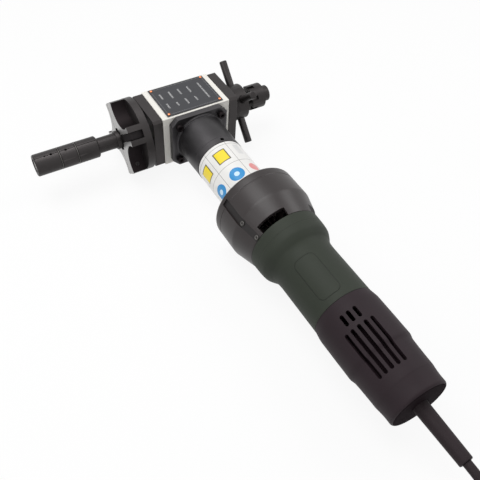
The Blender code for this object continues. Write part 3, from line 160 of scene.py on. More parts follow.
class Sock:
    """A shader socket that adds its Math nodes when it is used in a sum."""

    def __init__(self, shade, socket):
        self.shade = shade
        self.socket = socket

    def math(self, operation, *values):
        return self.shade.node("ShaderNodeMath", {"operation": operation}, dict(enumerate((self, *values))))

    def __add__(self, other):
        return self.math("ADD", other)

    def __sub__(self, other):
        return self.math("SUBTRACT", other)

    def __mul__(self, other):
        return self.math("MULTIPLY", other)

    def __rsub__(self, other):
        return self.shade.node("ShaderNodeMath", {"operation": "SUBTRACT"}, {0: other, 1: self})

    __radd__ = __add__
    __rmul__ = __mul__

    def above(self, edge, soft=0.0):
        """1 where the value is over the edge, with a soft step of the given width on both sides of it."""
        if not soft:
            return self.math("GREATER_THAN", edge)
        return self.shade.node("ShaderNodeMapRange", {"interpolation_type": "SMOOTHSTEP"},
                               {"Value": self, "From Min": edge - soft, "From Max": edge + soft})

    def below(self, edge, soft=0.0):
        return 1 - self.above(edge, soft)

    def abs(self):
        return self.math("ABSOLUTE")

    def high(self, other):
        return self.math("MAXIMUM", other)

    def beyond(self, middle, half):
        """How far the value is outside a range, below 0 inside it."""
        return (self - middle).abs() - half

    def reach(self, other):
        """The distance from 0 of two values at right angles."""
        return (self * self + other * other).math("SQRT")


# Which sockets of a Mix node are for colours
MIX_FIRST, MIX_SECOND, MIX_RESULT = 6, 7, 2


class Shade:
    """One material with a Principled shader."""

    def __init__(self, name, colour, roughness, metallic=0.0, coat=0.0, specular=0.5, slot=None):
        self.slot = slot or name
        self.material = bpy.data.materials.new(name)
        self.material.use_nodes = True
        self.nodes = self.material.node_tree.nodes
        self.links = self.material.node_tree.links
        self.shader = self.nodes["Principled BSDF"]
        self.set("Base Color", (*colour, 1))
        self.set("Roughness", roughness)
        self.set("Metallic", metallic)
        self.set("Coat Weight", coat)
        self.set("Specular IOR Level", specular)
        self.material.diffuse_color = (*colour, 1)

    def feed(self, socket, value):
        if isinstance(value, Sock):
            self.links.new(value.socket, socket)
        else:
            socket.default_value = value

    def set(self, name, value):
        self.feed(self.shader.inputs[name], value)

    def node(self, kind, settings=None, values=None, output=0):
        made = self.nodes.new(kind)
        for key, value in (settings or {}).items():
            setattr(made, key, value)
        for key, value in (values or {}).items():
            self.feed(made.inputs[key], value)
        return Sock(self, made.outputs[output])

    def position(self):
        """Object coordinates counted from the crossing of the axes."""
        coordinates = self.node("ShaderNodeTexCoord", output="Object")
        return self.node("ShaderNodeMapping", None, {"Vector": coordinates, "Location": tuple(-CROSSING)})

    def parts(self):
        split = self.node("ShaderNodeSeparateXYZ", None, {0: self.position()})
        return [Sock(self, output) for output in split.socket.node.outputs]

    def round_motor(self):
        """The station along the motor axis, the angle round it, and the places across and up."""
        across, along, up = self.parts()
        return along * -1, up.math("ARCTAN2", across), across, up

    def noise(self, scale, detail, roughness=0.5, stretch=(1, 1, 1)):
        place = self.node("ShaderNodeMapping", None, {"Vector": self.position(), "Scale": stretch})
        return self.node("ShaderNodeTexNoise", None,
                         {"Vector": place, "Scale": scale, "Detail": detail, "Roughness": roughness}, "Fac")

    def mix(self, first, second, share):
        return self.node("ShaderNodeMix", {"data_type": "RGBA"},
                         {0: share, MIX_FIRST: first, MIX_SECOND: second}, MIX_RESULT)

    def surface(self, colour, roughness, height, bump):
        """Sets all that varies over the surface. The bump is its strength and its height."""
        strength, distance = bump
        self.set("Base Color", colour)
        self.set("Roughness", roughness)
        self.set("Normal", self.node("ShaderNodeBump", None, {
            "Height": height, "Strength": strength, "Distance": distance}, "Normal"))


def shaded(colour, factor):
    return tuple(value * factor for value in colour) + (1,)


# How a material varies. The cloud, which its colour follows, and the grain, which its bump follows, are
# noises: scale, detail, roughness and stretch. The tones are the darkest and lightest share of its colour.
# The gloss is what its roughness gains everywhere, with the cloud and with the grain. The bump is its
# strength and height.
Finish = namedtuple("Finish", "cloud grain tones gloss bump metallic coat specular", defaults=(0.0, 0.0, 0.5))
SATIN = Finish((24, 3), (520, 2), (0.96, 1.02), (-0.04, 0.08, 0), (0.12, 0.00008), coat=0.15)
OXIDE = Finish((60, 4), (1500, 3, 0.6, (1, 0.04, 0.04)), (0.75, 1.35), (-0.08, 0.06, 0.12), (0.25, 0.00005),
               metallic=0.75)
NECK_OXIDE = OXIDE._replace(grain=(1500, 3, 0.6, (0.04, 1, 0.04)))
MACHINED = Finish((80, 3), (1800, 3, 0.6, (1, 0.03, 0.03)), (0.85, 1.1), (-0.08, 0, 0.14), (0.2, 0.00004),
                  metallic=1.0)
METAL = Finish((220, 4), (2400, 2), (0.8, 1.1), (-0.08, 0.12, 0.05), (0.2, 0.00003), metallic=1.0)
MOULDED = Finish((38, 4), (2600, 2), (0.78, 1.22), (-0.06, 0.08, 0.05), (0.35, 0.00006), specular=0.3)
DULL_MOULDED = MOULDED._replace(specular=0.2)
DARK_MOULDED = MOULDED._replace(specular=0.04)
CASE = Finish((30, 4), (2600, 2), (0.8, 1.2), (-0.04, 0.06, 0.05), (0.3, 0.00006), specular=0.4)
GRIP = Finish((30, 4), (2600, 2), (0.8, 1.2), (-0.05, 0.08, 0.05), (0.8, 0.0003), specular=0.22)
BRUSHED = Finish((900, 4, 0.6, (0.05, 1, 1)), (900, 4, 0.6, (0.05, 1, 1)), (0.8, 1.3), (-0.06, 0, 0.14),
                 (0.15, 0.00003), metallic=0.6)
SOFT = Finish((60, 3), (1400, 3), (0.75, 1.3), (-0.06, 0, 0.14), (0.3, 0.00005), specular=0.2)


class Varied(Shade):
    """A material that varies as its finish says."""

    def __init__(self, name, colour, roughness, finish, slot=None):
        super().__init__(name, colour, roughness, finish.metallic, finish.coat, finish.specular, slot)
        cloud = self.noise(*finish.cloud)
        self.grain = self.noise(*finish.grain)
        low, high = finish.tones
        self.tone = self.mix(shaded(colour, low), shaded(colour, high), cloud)
        always, by_cloud, by_grain = finish.gloss
        self.gloss = roughness + always + cloud * by_cloud + self.grain * by_grain


def plain(name, colour, roughness, finish, slot=None):
    shade = Varied(name, colour, roughness, finish, slot)
    shade.surface(shade.tone, shade.gloss, shade.grain, finish.bump)
    return shade


# Worn edges of the black steel: least pointiness and its soft step, colour and share
WORN_EDGE = (0.56, 0.05)
WORN_TONE = 3.2
WORN_SHARE = 0.5


def blackened_steel(name, colour, roughness, finish, slot=None):
    """Black oxide steel with turning marks round its axis and paler edges."""
    shade = Varied(name, colour, roughness, finish, slot)
    worn = shade.node("ShaderNodeNewGeometry", output="Pointiness").above(*WORN_EDGE)
    tone = shade.mix(shade.tone, shaded(colour, WORN_TONE), worn * WORN_SHARE)
    shade.surface(tone, shade.gloss, shade.grain, finish.bump)
    return shade


def point_at(axis, station, across, up):
    """A point beside the mandrel axis (station towards +X) or the motor axis (station towards the cord)."""
    if axis == "mandrel":
        return CROSSING + Vector((station, -across, up))
    return CROSSING + Vector((across, -station, up))


def on_axis(axis, station):
    return point_at(axis, station, 0, 0)


def polar(axis, station, radius, angle):
    return point_at(axis, station, radius * cos(radians(angle)), radius * sin(radians(angle)))


def direction(axis, angle):
    return polar(axis, 0, 1, angle) - CROSSING


def ring_angles(count, first):
    return [first + 360 * k / count for k in range(count)]


def corner_places(spacing):
    """The corners of a rectangle round the crossing."""
    width, height = spacing
    return [(side, up) for side in (-width / 2, width / 2) for up in (-height / 2, height / 2)]


def new_piece(name, bm):
    bmesh.ops.recalc_face_normals(bm, faces=bm.faces)
    mesh = bpy.data.meshes.new(name)
    bm.to_mesh(mesh)
    bm.free()
    mesh.shade_smooth()
    piece = bpy.data.objects.new(name, mesh)
    SCENE.collection.objects.link(piece)
    return piece


def bridge(bm, first, second):
    count = len(first)
    for k in range(count):
        bm.faces.new((first[k], first[(k + 1) % count], second[(k + 1) % count], second[k]))


def lofted(name, rings, hollow=False):
    """A skin over rings of points, closed at both ends or, if hollow, from the last ring to the first."""
    bm = bmesh.new()
    loops = [[bm.verts.new(point) for point in ring] for ring in rings]
    for first, second in zip(loops, loops[1:]):
        bridge(bm, first, second)
    if hollow:
        bridge(bm, loops[-1], loops[0])
    else:
        bm.faces.new(loops[0])
        bm.faces.new(loops[-1])
    return new_piece(name, bm)


def turned(name, axis, profile, sides=FINE_SIDES, hollow=False):
    """A turned piece from (station, radius) pairs."""
    return lofted(name, [[polar(axis, station, radius, 360 * k / sides) for k in range(sides)]
                         for station, radius in profile], hollow)


def bored(name, axis, profile, bore):
    """A turned piece with a straight bore all through."""
    return turned(name, axis, (*profile, (profile[-1][0], bore), (profile[0][0], bore)), hollow=True)


def tube(name, axis, span, radius, bore):
    return bored(name, axis, [(station, radius) for station in span], bore)


def disc(name, axis, span, radius, sides=FINE_SIDES):
    return turned(name, axis, [(station, radius) for station in span], sides)


def through(name, axis, span, radius, sides=SMALL_SIDES):
    """A round cutter that runs over both ends of a span."""
    start, end = span
    return disc(name, axis, (start - OVERRUN, end + OVERRUN), radius, sides)


def bar(name, base, along, profile, sides=SMALL_SIDES):
    """A turned piece on any line through base, from (distance along the line, radius) pairs."""
    along = Vector(along).normalized()
    across = along.orthogonal().normalized()
    beside = along.cross(across)
    rings = []
    for distance, radius in profile:
        middle = Vector(base) + along * distance
        rings.append([middle + (across * cos(angle) + beside * sin(angle)) * radius
                      for angle in (FULL_TURN * k / sides for k in range(sides))])
    return lofted(name, rings)


def pin(name, base, along, span, radius, sides=SMALL_SIDES):
    """A bar with one radius over its whole span."""
    return bar(name, base, along, [(distance, radius) for distance in span], sides)


def prism(name, outline, lift):
    outline = [Vector(point) for point in outline]
    return lofted(name, [outline, [point + Vector(lift) for point in outline]])


def box(name, low, high):
    (x_low, y_low, z_low), (x_high, y_high, z_high) = low, high
    outline = [CROSSING + Vector(corner) for corner in (
        (x_low, y_low, z_low), (x_high, y_low, z_low), (x_high, y_high, z_low), (x_low, y_high, z_low))]
    return prism(name, outline, (0, 0, z_high - z_low))


def radial_box(name, axis, span, angle, inner, outer, half_width):
    """A box along an axis, at an angle round it."""
    start, end = span
    out = direction(axis, angle)
    side = direction(axis, angle + 90) * half_width
    near = on_axis(axis, start)
    outline = [near + out * inner - side, near + out * outer - side,
               near + out * outer + side, near + out * inner + side]
    return prism(name, outline, on_axis(axis, end - start) - CROSSING)


def sector(name, axis, span, inner, outer, middle, width, steps=24):
    """A part of a ring, as wide as the angle given."""
    start, end = span
    angles = [middle + width * (k / steps - 1 / 2) for k in range(steps + 1)]
    outline = [polar(axis, start, outer, angle) for angle in angles]
    outline += [polar(axis, start, inner, angle) for angle in reversed(angles)]
    return prism(name, outline, on_axis(axis, end - start) - CROSSING)


def rounded(start, radius, rounding, steps=6):
    """Profile points of a rounded edge, out from the smaller radius to the full one."""
    turns = [pi / 2 * k / steps for k in range(steps + 1)]
    return [(start + rounding * (1 - cos(turn)), radius - rounding * (1 - sin(turn))) for turn in turns]


def rounded_tip(end, radius, rounding):
    """The same at a piece's far end, in from the full radius to the smaller one."""
    return [(end - along, reach) for along, reach in reversed(rounded(0, radius, rounding))]


def smooth_profile(points, steps=5):
    """More points on a smooth line through the given ones, which never runs past them."""
    slopes = [(b[1] - a[1]) / (b[0] - a[0]) for a, b in zip(points, points[1:])]
    tangents = [slopes[0]]
    for before, after in zip(slopes, slopes[1:]):
        tangents.append(0 if before * after <= 0 else 2 * before * after / (before + after))
    tangents.append(slopes[-1])
    fine = []
    for k, ((s0, r0), (s1, r1)) in enumerate(zip(points, points[1:])):
        length = s1 - s0
        for step in range(steps):
            t = step / steps
            radius = ((2 * t ** 3 - 3 * t ** 2 + 1) * r0 + (t ** 3 - 2 * t ** 2 + t) * length * tangents[k]
                      + (3 * t ** 2 - 2 * t ** 3) * r1 + (t ** 3 - t ** 2) * length * tangents[k + 1])
            fine.append((s0 + length * t, radius))
    return [*fine, points[-1]]


def combine(piece, operation, *tools):
    for tool in tools:
        step = piece.modifiers.new(tool.name, "BOOLEAN")
        step.operation = operation
        step.solver = "EXACT"
        step.object = tool
    bake(piece)
    for tool in tools:
        bpy.data.objects.remove(tool, do_unlink=True)


def cut(piece, *tools):
    combine(piece, "DIFFERENCE", *tools)


def join(piece, *tools):
    combine(piece, "UNION", *tools)


def bake(piece):
    """Makes the piece's modifiers into plain mesh."""
    bpy.context.view_layer.update()
    seen = piece.evaluated_get(bpy.context.evaluated_depsgraph_get())
    mesh = bpy.data.meshes.new_from_object(seen)
    piece.modifiers.clear()
    piece.data = mesh


def ease(piece, edge, segments=2):
    """Rounds the sharp edges and keeps the wide faces flat in the light."""
    if edge:
        rounding = piece.modifiers.new("rounding", "BEVEL")
        rounding.width = edge
        rounding.segments = segments
        rounding.limit_method = "ANGLE"
        rounding.angle_limit = EDGE_ANGLE
        rounding.use_clamp_overlap = True
        bake(piece)
    piece.data.shade_smooth()
    piece.data.set_sharp_from_angle(angle=SHARP_ANGLE)
    weighted = piece.modifiers.new("weighted", "WEIGHTED_NORMAL")
    weighted.keep_sharp = True
    bake(piece)


def finished(piece, look, body, *nodes, edge=0.0, segments=2):
    """Eases a piece, gives it its look and its body, and hides the nodes that it stands in for."""
    ease(piece, edge, segments)
    piece.data.materials.clear()
    piece.data.materials.append(LOOKS[look].material)
    placed(piece, look, body, *nodes)
    return piece


def placed(piece, look, body, *nodes):
    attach(piece, body)
    if nodes:
        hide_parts(*nodes)


def paint_faces(piece, look, chosen):
    """Gives another look to the faces whose place and normal pass the test."""
    piece.data.materials.append(LOOKS[look].material)
    for face in piece.data.polygons:
        if chosen(face.center - CROSSING, face.normal):
            face.material_index = len(piece.data.materials) - 1


def numbered(name, count):
    return [f"{name}_{k}" for k in range(1, count + 1)]


class Repeat:
    """A Geometry Nodes tree that repeats a source mesh, on a ring or at the corners of a rectangle."""

    def __init__(self, name, inputs):
        self.tree = bpy.data.node_groups.new(name, "GeometryNodeTree")
        self.tree.interface.new_socket("Geometry", in_out="OUTPUT", socket_type="NodeSocketGeometry")
        self.sockets = {}
        for label, kind in (("Source", "Object"), ("Material", "Material"), *inputs):
            made = self.tree.interface.new_socket(label, in_out="INPUT", socket_type=f"NodeSocket{kind}")
            self.sockets[label] = made.identifier
        self.given = self.tree.nodes.new("NodeGroupInput").outputs

    def node(self, kind, values, output=0, **settings):
        made = self.tree.nodes.new(kind)
        for key, value in settings.items():
            setattr(made, key, value)
        for key, value in values.items():
            if isinstance(value, bpy.types.NodeSocket):
                self.tree.links.new(value, made.inputs[key])
            else:
                made.inputs[key].default_value = value
        return made.outputs[output]

    def finish(self, points, turn=None):
        source = self.node("GeometryNodeObjectInfo", {"Object": self.given["Source"]}, "Geometry")
        values = {"Points": points, "Instance": source}
        if turn:
            values["Rotation"] = turn
        instances = self.node("GeometryNodeInstanceOnPoints", values)
        real = self.node("GeometryNodeRealizeInstances", {"Geometry": instances})
        painted = self.node("GeometryNodeSetMaterial", {"Geometry": real, "Material": self.given["Material"]})
        result = self.tree.nodes.new("NodeGroupOutput")
        self.tree.links.new(painted, result.inputs[0])

    def make(self, name, source, look, **values):
        """The repeated pieces as one plain mesh. The source, made round the crossing, is removed."""
        source.data.transform(Matrix.Translation(-CROSSING))
        piece = bpy.data.objects.new(name, bpy.data.meshes.new(name))
        SCENE.collection.objects.link(piece)
        step = piece.modifiers.new("repeat", "NODES")
        step.node_group = self.tree
        step[self.sockets["Source"]] = source
        step[self.sockets["Material"]] = LOOKS[look].material
        for label, value in values.items():
            step[self.sockets[label]] = value
        bake(piece)
        bpy.data.objects.remove(source, do_unlink=True)
        return piece


def ring_repeat():
    repeat = Repeat("ring_repeat", (
        ("Centre", "Vector"), ("Axis", "Vector"), ("Count", "Int"), ("First", "Float")))
    given = repeat.given
    points = repeat.node("GeometryNodeMeshLine",
                         {"Count": given["Count"], "Start Location": given["Centre"], "Offset": (0, 0, 0)})
    index = repeat.node("GeometryNodeInputIndex", {})
    step = repeat.node("ShaderNodeMath", {0: FULL_TURN, 1: given["Count"]}, operation="DIVIDE")
    turn = repeat.node("ShaderNodeMath", {0: index, 1: step, 2: given["First"]}, operation="MULTIPLY_ADD")
    angles = repeat.node("ShaderNodeVectorMath", {"Vector": given["Axis"], "Scale": turn}, operation="SCALE")
    repeat.finish(points, angles)
    return repeat


def corner_repeat():
    repeat = Repeat("corner_repeat", (
        ("Centre", "Vector"), ("Tilt", "Vector"), ("Width", "Float"), ("Height", "Float")))
    given = repeat.given
    grid = repeat.node("GeometryNodeMeshGrid", {"Size X": given["Width"], "Size Y": given["Height"],
                                                "Vertices X": 2, "Vertices Y": 2})
    points = repeat.node("GeometryNodeTransform",
                         {"Geometry": grid, "Translation": given["Centre"], "Rotation": given["Tilt"]})
    repeat.finish(points)
    return repeat


RING = ring_repeat()
CORNERS = corner_repeat()
CORNER_COUNT = 4


def repeated_round(name, source, look, count, first, centre=CROSSING):
    """Copies of a piece round the mandrel axis, the first one turned by the angle given."""
    return RING.make(name, source, look, Centre=centre.copy(), Axis=Vector((-1, 0, 0)), Count=count,
                     First=radians(first))


def repeated_at_corners(name, source, look, spacing, centre=CROSSING, tilt=0.0):
    """Copies of a piece at the corners of a rectangle, which is tilted up from the level."""
    return CORNERS.make(name, source, look, Centre=centre.copy(), Tilt=Vector((tilt, 0, 0)),
                        Width=spacing[0], Height=spacing[1])


# Cord, coil, tie and plug, on the same points as their solids
CORD_RADIUS = 0.004
CORD_BEVEL_STEPS = 6
CORD_ROUTE = (
    (0.0, -0.4713, 0.0),
    (0.0, -0.4860, -0.0006),
    (0.0009, -0.5010, -0.0055),
    (0.0045, -0.5170, -0.0150),
    (0.0110, -0.5330, -0.0257),
    (0.0195, -0.5500, -0.0347),
    (0.0284, -0.5680, -0.0396),
    (0.0352, -0.5870, -0.0410),
    (0.0384, -0.6060, -0.0413),
)
ROUTE_FINENESS = 9
FLOOR = -0.0465
COIL_INNER_RADIUS = 0.0325
COIL_PITCH = 0.0088
COIL_LAYER_TURNS = 3.75
COIL_EASE_TURNS = 0.12
COIL_CLIMB_TURNS = 0.5
COIL_TAIL_TURNS = 0.15
COIL_TAIL_SPREAD = 0.010
COIL_LOOP_POINTS = 72
TIE_WALL = 0.0008
TIE_WIDTH = 0.010
TIE_TURN = 1 / 4
PLUG_RADIUS = 0.0170
PLUG_NECK_RADIUS = 0.0052
PLUG_LENGTH = 0.040
PLUG_NECK_LENGTH = 0.012
PLUG_EDGE = 0.002
PLUG_PIN_RADIUS = 0.0024
PLUG_PIN_ROUNDING = 0.00144
PLUG_PIN_LENGTH = 0.019
PLUG_PIN_SPACING = 0.019
PLUG_RINGS = 4
PLUG_RING_WIDTH = 0.0008
PLUG_RING_DEPTH = 0.0006


def smooth_route(points):
    """Close points on the smooth curve through the route's own points, level and along Y at its ends."""
    route = [Vector(point) for point in points]
    last = len(route) - 1
    tangents = [(route[min(k + 1, last)] - route[max(k - 1, 0)]) / 6 for k in range(len(route))]
    tangents[0] = Vector((0, -(route[1] - route[0]).length / 3, 0))
    tangents[-1] = Vector((0, -(route[-1] - route[-2]).length / 3, 0))
    fine = [route[0]]
    for k in range(last):
        fine += interpolate_bezier(route[k], route[k] + tangents[k], route[k + 1] - tangents[k + 1],
                                   route[k + 1], ROUTE_FINENESS)[1:]
    return fine


def coil_start():
    return Vector(CORD_ROUTE[-1]) + Vector((0, -2 * CORD_RADIUS, 0))


def coil_radius(turns):
    return COIL_INNER_RADIUS + COIL_PITCH * (hypot(turns, COIL_EASE_TURNS) - COIL_EASE_TURNS)


def coil_point(turns):
    """A point of the coil: in along the lower layer, up at the middle, out along the upper."""
    start = coil_start()
    radius = coil_radius(turns)
    climb = min(max(turns / COIL_CLIMB_TURNS + 1 / 2, 0), 1)
    tail = max(turns - COIL_LAYER_TURNS, 0) / COIL_TAIL_TURNS
    height = start.z + COIL_PITCH * (1 - cos(pi * climb)) / 2
    height += (FLOOR + PLUG_RADIUS + GAP - COIL_PITCH - start.z) * tail ** 2
    radius += COIL_TAIL_SPREAD * tail ** 2
    angle = pi + FULL_TURN * (turns + COIL_LAYER_TURNS)
    return Vector((start.x + coil_radius(COIL_LAYER_TURNS) + radius * cos(angle),
                   start.y - 2 * CORD_RADIUS + radius * sin(angle), height))


def coil_points():
    whole = 2 * COIL_LAYER_TURNS + COIL_TAIL_TURNS
    count = round(whole * COIL_LOOP_POINTS)
    return [coil_point(whole * k / count - COIL_LAYER_TURNS) for k in range(count + 1)]


def free_cord(going_with, points):
    """The whole cord, from the strain relief to the plug, as one curve."""
    curve = bpy.data.curves.new("mains_cord", "CURVE")
    curve.dimensions = "3D"
    curve.bevel_depth = CORD_RADIUS
    curve.bevel_resolution = CORD_BEVEL_STEPS
    curve.use_fill_caps = True
    spline = curve.splines.new("POLY")
    spline.points.add(len(points) - 1)
    for place, point in zip(spline.points, points):
        place.co = (*(CROSSING + point), 1)
    spline.use_smooth = True
    curve.materials.append(LOOKS["rubber"].material)
    piece = bpy.data.objects.new("mains_cord", curve)
    SCENE.collection.objects.link(piece)
    placed(piece, "rubber", "machine", "cord", "cord_coil")
    length = sum((b - a).length for a, b in zip(points, points[1:]))
    tuple(CROSSING + points[0])


def cord_tie():
    """A flat hook-and-loop band round all the turns."""
    half = TIE_WIDTH / 2
    start = coil_start()
    turns = [abs(k + TIE_TURN - COIL_LAYER_TURNS) for k in range(int(2 * COIL_LAYER_TURNS))]
    near = sqrt((coil_radius(min(turns)) - CORD_RADIUS) ** 2 - half ** 2) - 2 * GAP
    far = coil_radius(max(turns)) + CORD_RADIUS + 2 * GAP
    low = start.z - CORD_RADIUS - GAP
    high = start.z + COIL_PITCH + CORD_RADIUS + GAP
    middle_x = start.x + coil_radius(COIL_LAYER_TURNS)
    middle_y = start.y - 2 * CORD_RADIUS
    band = box("cord_strap", (middle_x - half, middle_y - far - TIE_WALL, low - TIE_WALL),
               (middle_x + half, middle_y - near + TIE_WALL, high + TIE_WALL))
    ease(band, TIE_WALL * 2, segments=4)
    window = box("strap_window", (middle_x - half - OVERRUN, middle_y - far, low),
                 (middle_x + half + OVERRUN, middle_y - near, high))
    ease(window, TIE_WALL, segments=3)
    cut(band, window)
    return finished(band, "black_plastic", "machine", "cord_tie")


def mains_plug(face, heading):
    """A moulded plug with grip rings on its neck and two round pins."""
    face = CROSSING + face
    rings = []
    for k in range(PLUG_RINGS):
        middle = PLUG_NECK_LENGTH * (k + 1) / (PLUG_RINGS + 1)
        radius = PLUG_NECK_RADIUS + PLUG_EDGE * middle / PLUG_NECK_LENGTH
        rings += [(middle - PLUG_RING_WIDTH, radius),
                  (middle - PLUG_RING_WIDTH / 2, radius - PLUG_RING_DEPTH),
                  (middle + PLUG_RING_WIDTH / 2, radius - PLUG_RING_DEPTH),
                  (middle + PLUG_RING_WIDTH, radius)]
    swell = smooth_profile(((PLUG_NECK_LENGTH, PLUG_NECK_RADIUS + PLUG_EDGE),
                            (PLUG_LENGTH / 2, PLUG_RADIUS - 2 * PLUG_EDGE),
                            (PLUG_LENGTH - PLUG_NECK_LENGTH, PLUG_RADIUS - PLUG_EDGE / 2),
                            (PLUG_LENGTH - PLUG_EDGE, PLUG_RADIUS)))
    body = bar("plug_body", face, heading, (
        (0, PLUG_NECK_RADIUS), *rings, *swell, (PLUG_LENGTH, PLUG_RADIUS - PLUG_EDGE / 2)), FINE_SIDES)
    pieces = [finished(body, "rubber", "machine", "plug", edge=PLUG_EDGE / 4, segments=3)]
    side = Vector((-heading.y, heading.x, 0)) * PLUG_PIN_SPACING / 2
    tip = rounded_tip(PLUG_LENGTH + PLUG_PIN_LENGTH, PLUG_PIN_RADIUS, PLUG_PIN_ROUNDING)
    for name, place in (("plug_contact_1", face - side), ("plug_contact_2", face + side)):
        contact = bar(name, place, heading, ((PLUG_LENGTH - PLUG_EDGE, PLUG_PIN_RADIUS), *tip))
        pieces.append(finished(contact, "bright_steel", "machine"))
    return pieces


def cord_and_coil():
    points = coil_points()
    heading = (points[-1] - points[-2]).normalized()
    heading.z = 0
    heading.normalize()
    end = points[-1] + heading * 2 * CORD_RADIUS
    pieces = mains_plug(end + heading * GAP, heading)
    free_cord([*pieces, cord_tie()], [*smooth_route(CORD_ROUTE), *points, end])


# Gearbox
BLOCK_LOW = (-0.042, -0.030, -0.0325)
BLOCK_HIGH = (0.042, 0.0275, 0.0325)
BLOCK_EDGE = 0.0008
BEARING_RADIUS = 0.0243
PLATE_CHAMFER = 0.003
PLATE_EDGE = 0.0004
FRONT_PLATE = (-0.0423, -0.0535)
REAR_PLATE = (0.0423, 0.053)
SPINDLE_HOLE_RADIUS = 0.0163
BOSS_RADIUS = 0.0218
BOSS_END = 0.062
BOSS_HOLE_RADIUS = 0.0123
NAMEPLATE_LOW = (-0.035, -0.02775, 0.0328)
NAMEPLATE_HIGH = (0.035, 0.02525, 0.0336)
NAMEPLATE_CENTRE = Vector((0, -0.00125, 0))
NAMEPLATE_EDGE = 0.00015
RIVET_SPACING = (0.064, 0.047)
RIVET_RADIUS = 0.0016
RIVET_HEIGHT = 0.0009
RIVET_DOME_STEPS = 7
RIVET_SHANK_RADIUS = 0.0008
RIVET_SHANK_LENGTH = 0.004
RIVET_HOLE_RADIUS = 0.0011


def cut_rectangle(axis, station, low, high, half_height, chamfer):
    """The corners of a rectangle with its own corners cut off, across an axis."""
    return [point_at(axis, station, across, up) for across, up in (
        (low + chamfer, -half_height), (high - chamfer, -half_height),
        (high, -half_height + chamfer), (high, half_height - chamfer),
        (high - chamfer, half_height), (low + chamfer, half_height),
        (low, half_height - chamfer), (low, -half_height + chamfer))]


def gearbox():
    block = box("painted_block", BLOCK_LOW, BLOCK_HIGH)
    ease(block, BLOCK_EDGE, segments=3)
    cut(block, through("block_bore", "mandrel", (BLOCK_LOW[0], BLOCK_HIGH[0]), BEARING_RADIUS))
    finished(block, "pale_paint", "machine", "gearbox_block")
    for name, node, (inner, outer), hole in (
            ("front_plate", "front_end_plate", FRONT_PLATE, SPINDLE_HOLE_RADIUS),
            ("rear_plate", "rear_end_plate", REAR_PLATE, BOSS_HOLE_RADIUS)):
        outline = cut_rectangle("mandrel", inner, -BLOCK_HIGH[1], -BLOCK_LOW[1], BLOCK_HIGH[2], PLATE_CHAMFER)
        plate = prism(name, outline, (outer - inner, 0, 0))
        low, high = sorted((inner, outer))
        if inner > 0:
            join(plate, disc("plate_boss", "mandrel", (inner + GAP, BOSS_END), BOSS_RADIUS))
            high = BOSS_END
        cut(plate, through("plate_bore", "mandrel", (low, high), hole, FINE_SIDES))
        finished(plate, "black_steel", "machine", node, edge=PLATE_EDGE)


def nameplate():
    plate = box("name_plate", NAMEPLATE_LOW, NAMEPLATE_HIGH)
    for along, across in corner_places(RIVET_SPACING):
        foot = CROSSING + NAMEPLATE_CENTRE + Vector((along, across, NAMEPLATE_LOW[2] - OVERRUN))
        cut(plate, pin("rivet_hole", foot, (0, 0, 1), (0, 2 * OVERRUN + RIVET_HEIGHT), RIVET_HOLE_RADIUS))
    finished(plate, "grey_plate", "machine", "nameplate", edge=NAMEPLATE_EDGE)
    head = NAMEPLATE_HIGH[2] + GAP
    foot = NAMEPLATE_LOW[2] - GAP - RIVET_SHANK_LENGTH
    dome = [(head + RIVET_HEIGHT * sin(angle), RIVET_RADIUS * cos(angle))
            for angle in (pi / 2 * k / RIVET_DOME_STEPS for k in range(RIVET_DOME_STEPS))]
    rivet = bar("rivet_source", CROSSING, (0, 0, 1), (
        (foot, RIVET_SHANK_RADIUS), (head, RIVET_SHANK_RADIUS), *dome))
    rivets = repeated_at_corners("plate_rivets", rivet, "copper", RIVET_SPACING, CROSSING + NAMEPLATE_CENTRE)
    finished(rivets, "copper", "machine", *numbered("nameplate_rivet", CORNER_COUNT))


# Neck between gearbox and motor
FLANGE = (0.0303, 0.0375)
FLANGE_HALF_WIDTH = 0.035
FLANGE_HALF_HEIGHT = 0.0325
FLANGE_CHAMFER = 0.008
FLANGE_EDGE = 0.0005
NECK_STEP = (0.0395, 0.0305)
NECK_TOP_RADIUS = 0.029
NECK_END = (0.0777, 0.028)
SPIGOT = (0.166, 0.022)
SCREW_SPACING = (0.053, 0.046)
SCREW_HOLE_RADIUS = 0.0028
SCREW_SHANK_RADIUS = 0.0025
SCREW_HEAD_RADIUS = 0.0041
SCREW_HEAD = (0.0378, 0.0418)
SCREW_LENGTH = 0.016
SOCKET_RADIUS = 0.0022
SOCKET_DEPTH = 0.0022
SOCKET_SIDES = 6
COLLAR = (0.078, 0.086)
COLLAR_HOLE_RADIUS = 0.0022
COLLAR_HOLE_ANGLE = 83
RING_BORE_RADIUS = 0.0223
SLEEVE = (0.0863, 0.166)
SLEEVE_RADIUS = 0.0276
THIN_EDGE = 0.0003


def neck_flange():
    outline = cut_rectangle("motor", FLANGE[0], -FLANGE_HALF_WIDTH, FLANGE_HALF_WIDTH, FLANGE_HALF_HEIGHT,
                            FLANGE_CHAMFER)
    flange = prism("neck_flange_plate", outline, (0, FLANGE[0] - FLANGE[1], 0))
    join(flange, turned("neck_tube", "motor", (
        (FLANGE[0] + GAP, NECK_STEP[1]), NECK_STEP, (NECK_STEP[0], NECK_TOP_RADIUS), NECK_END,
        (NECK_END[0], SPIGOT[1]), SPIGOT)))
    for side, up in corner_places(SCREW_SPACING):
        base = point_at("motor", FLANGE[0] - OVERRUN, side, up)
        span = (0, FLANGE[1] - FLANGE[0] + 2 * OVERRUN)
        cut(flange, pin("flange_hole", base, (0, -1, 0), span, SCREW_HOLE_RADIUS))
    finished(flange, "black_steel_neck", "machine", "neck_flange", edge=FLANGE_EDGE)


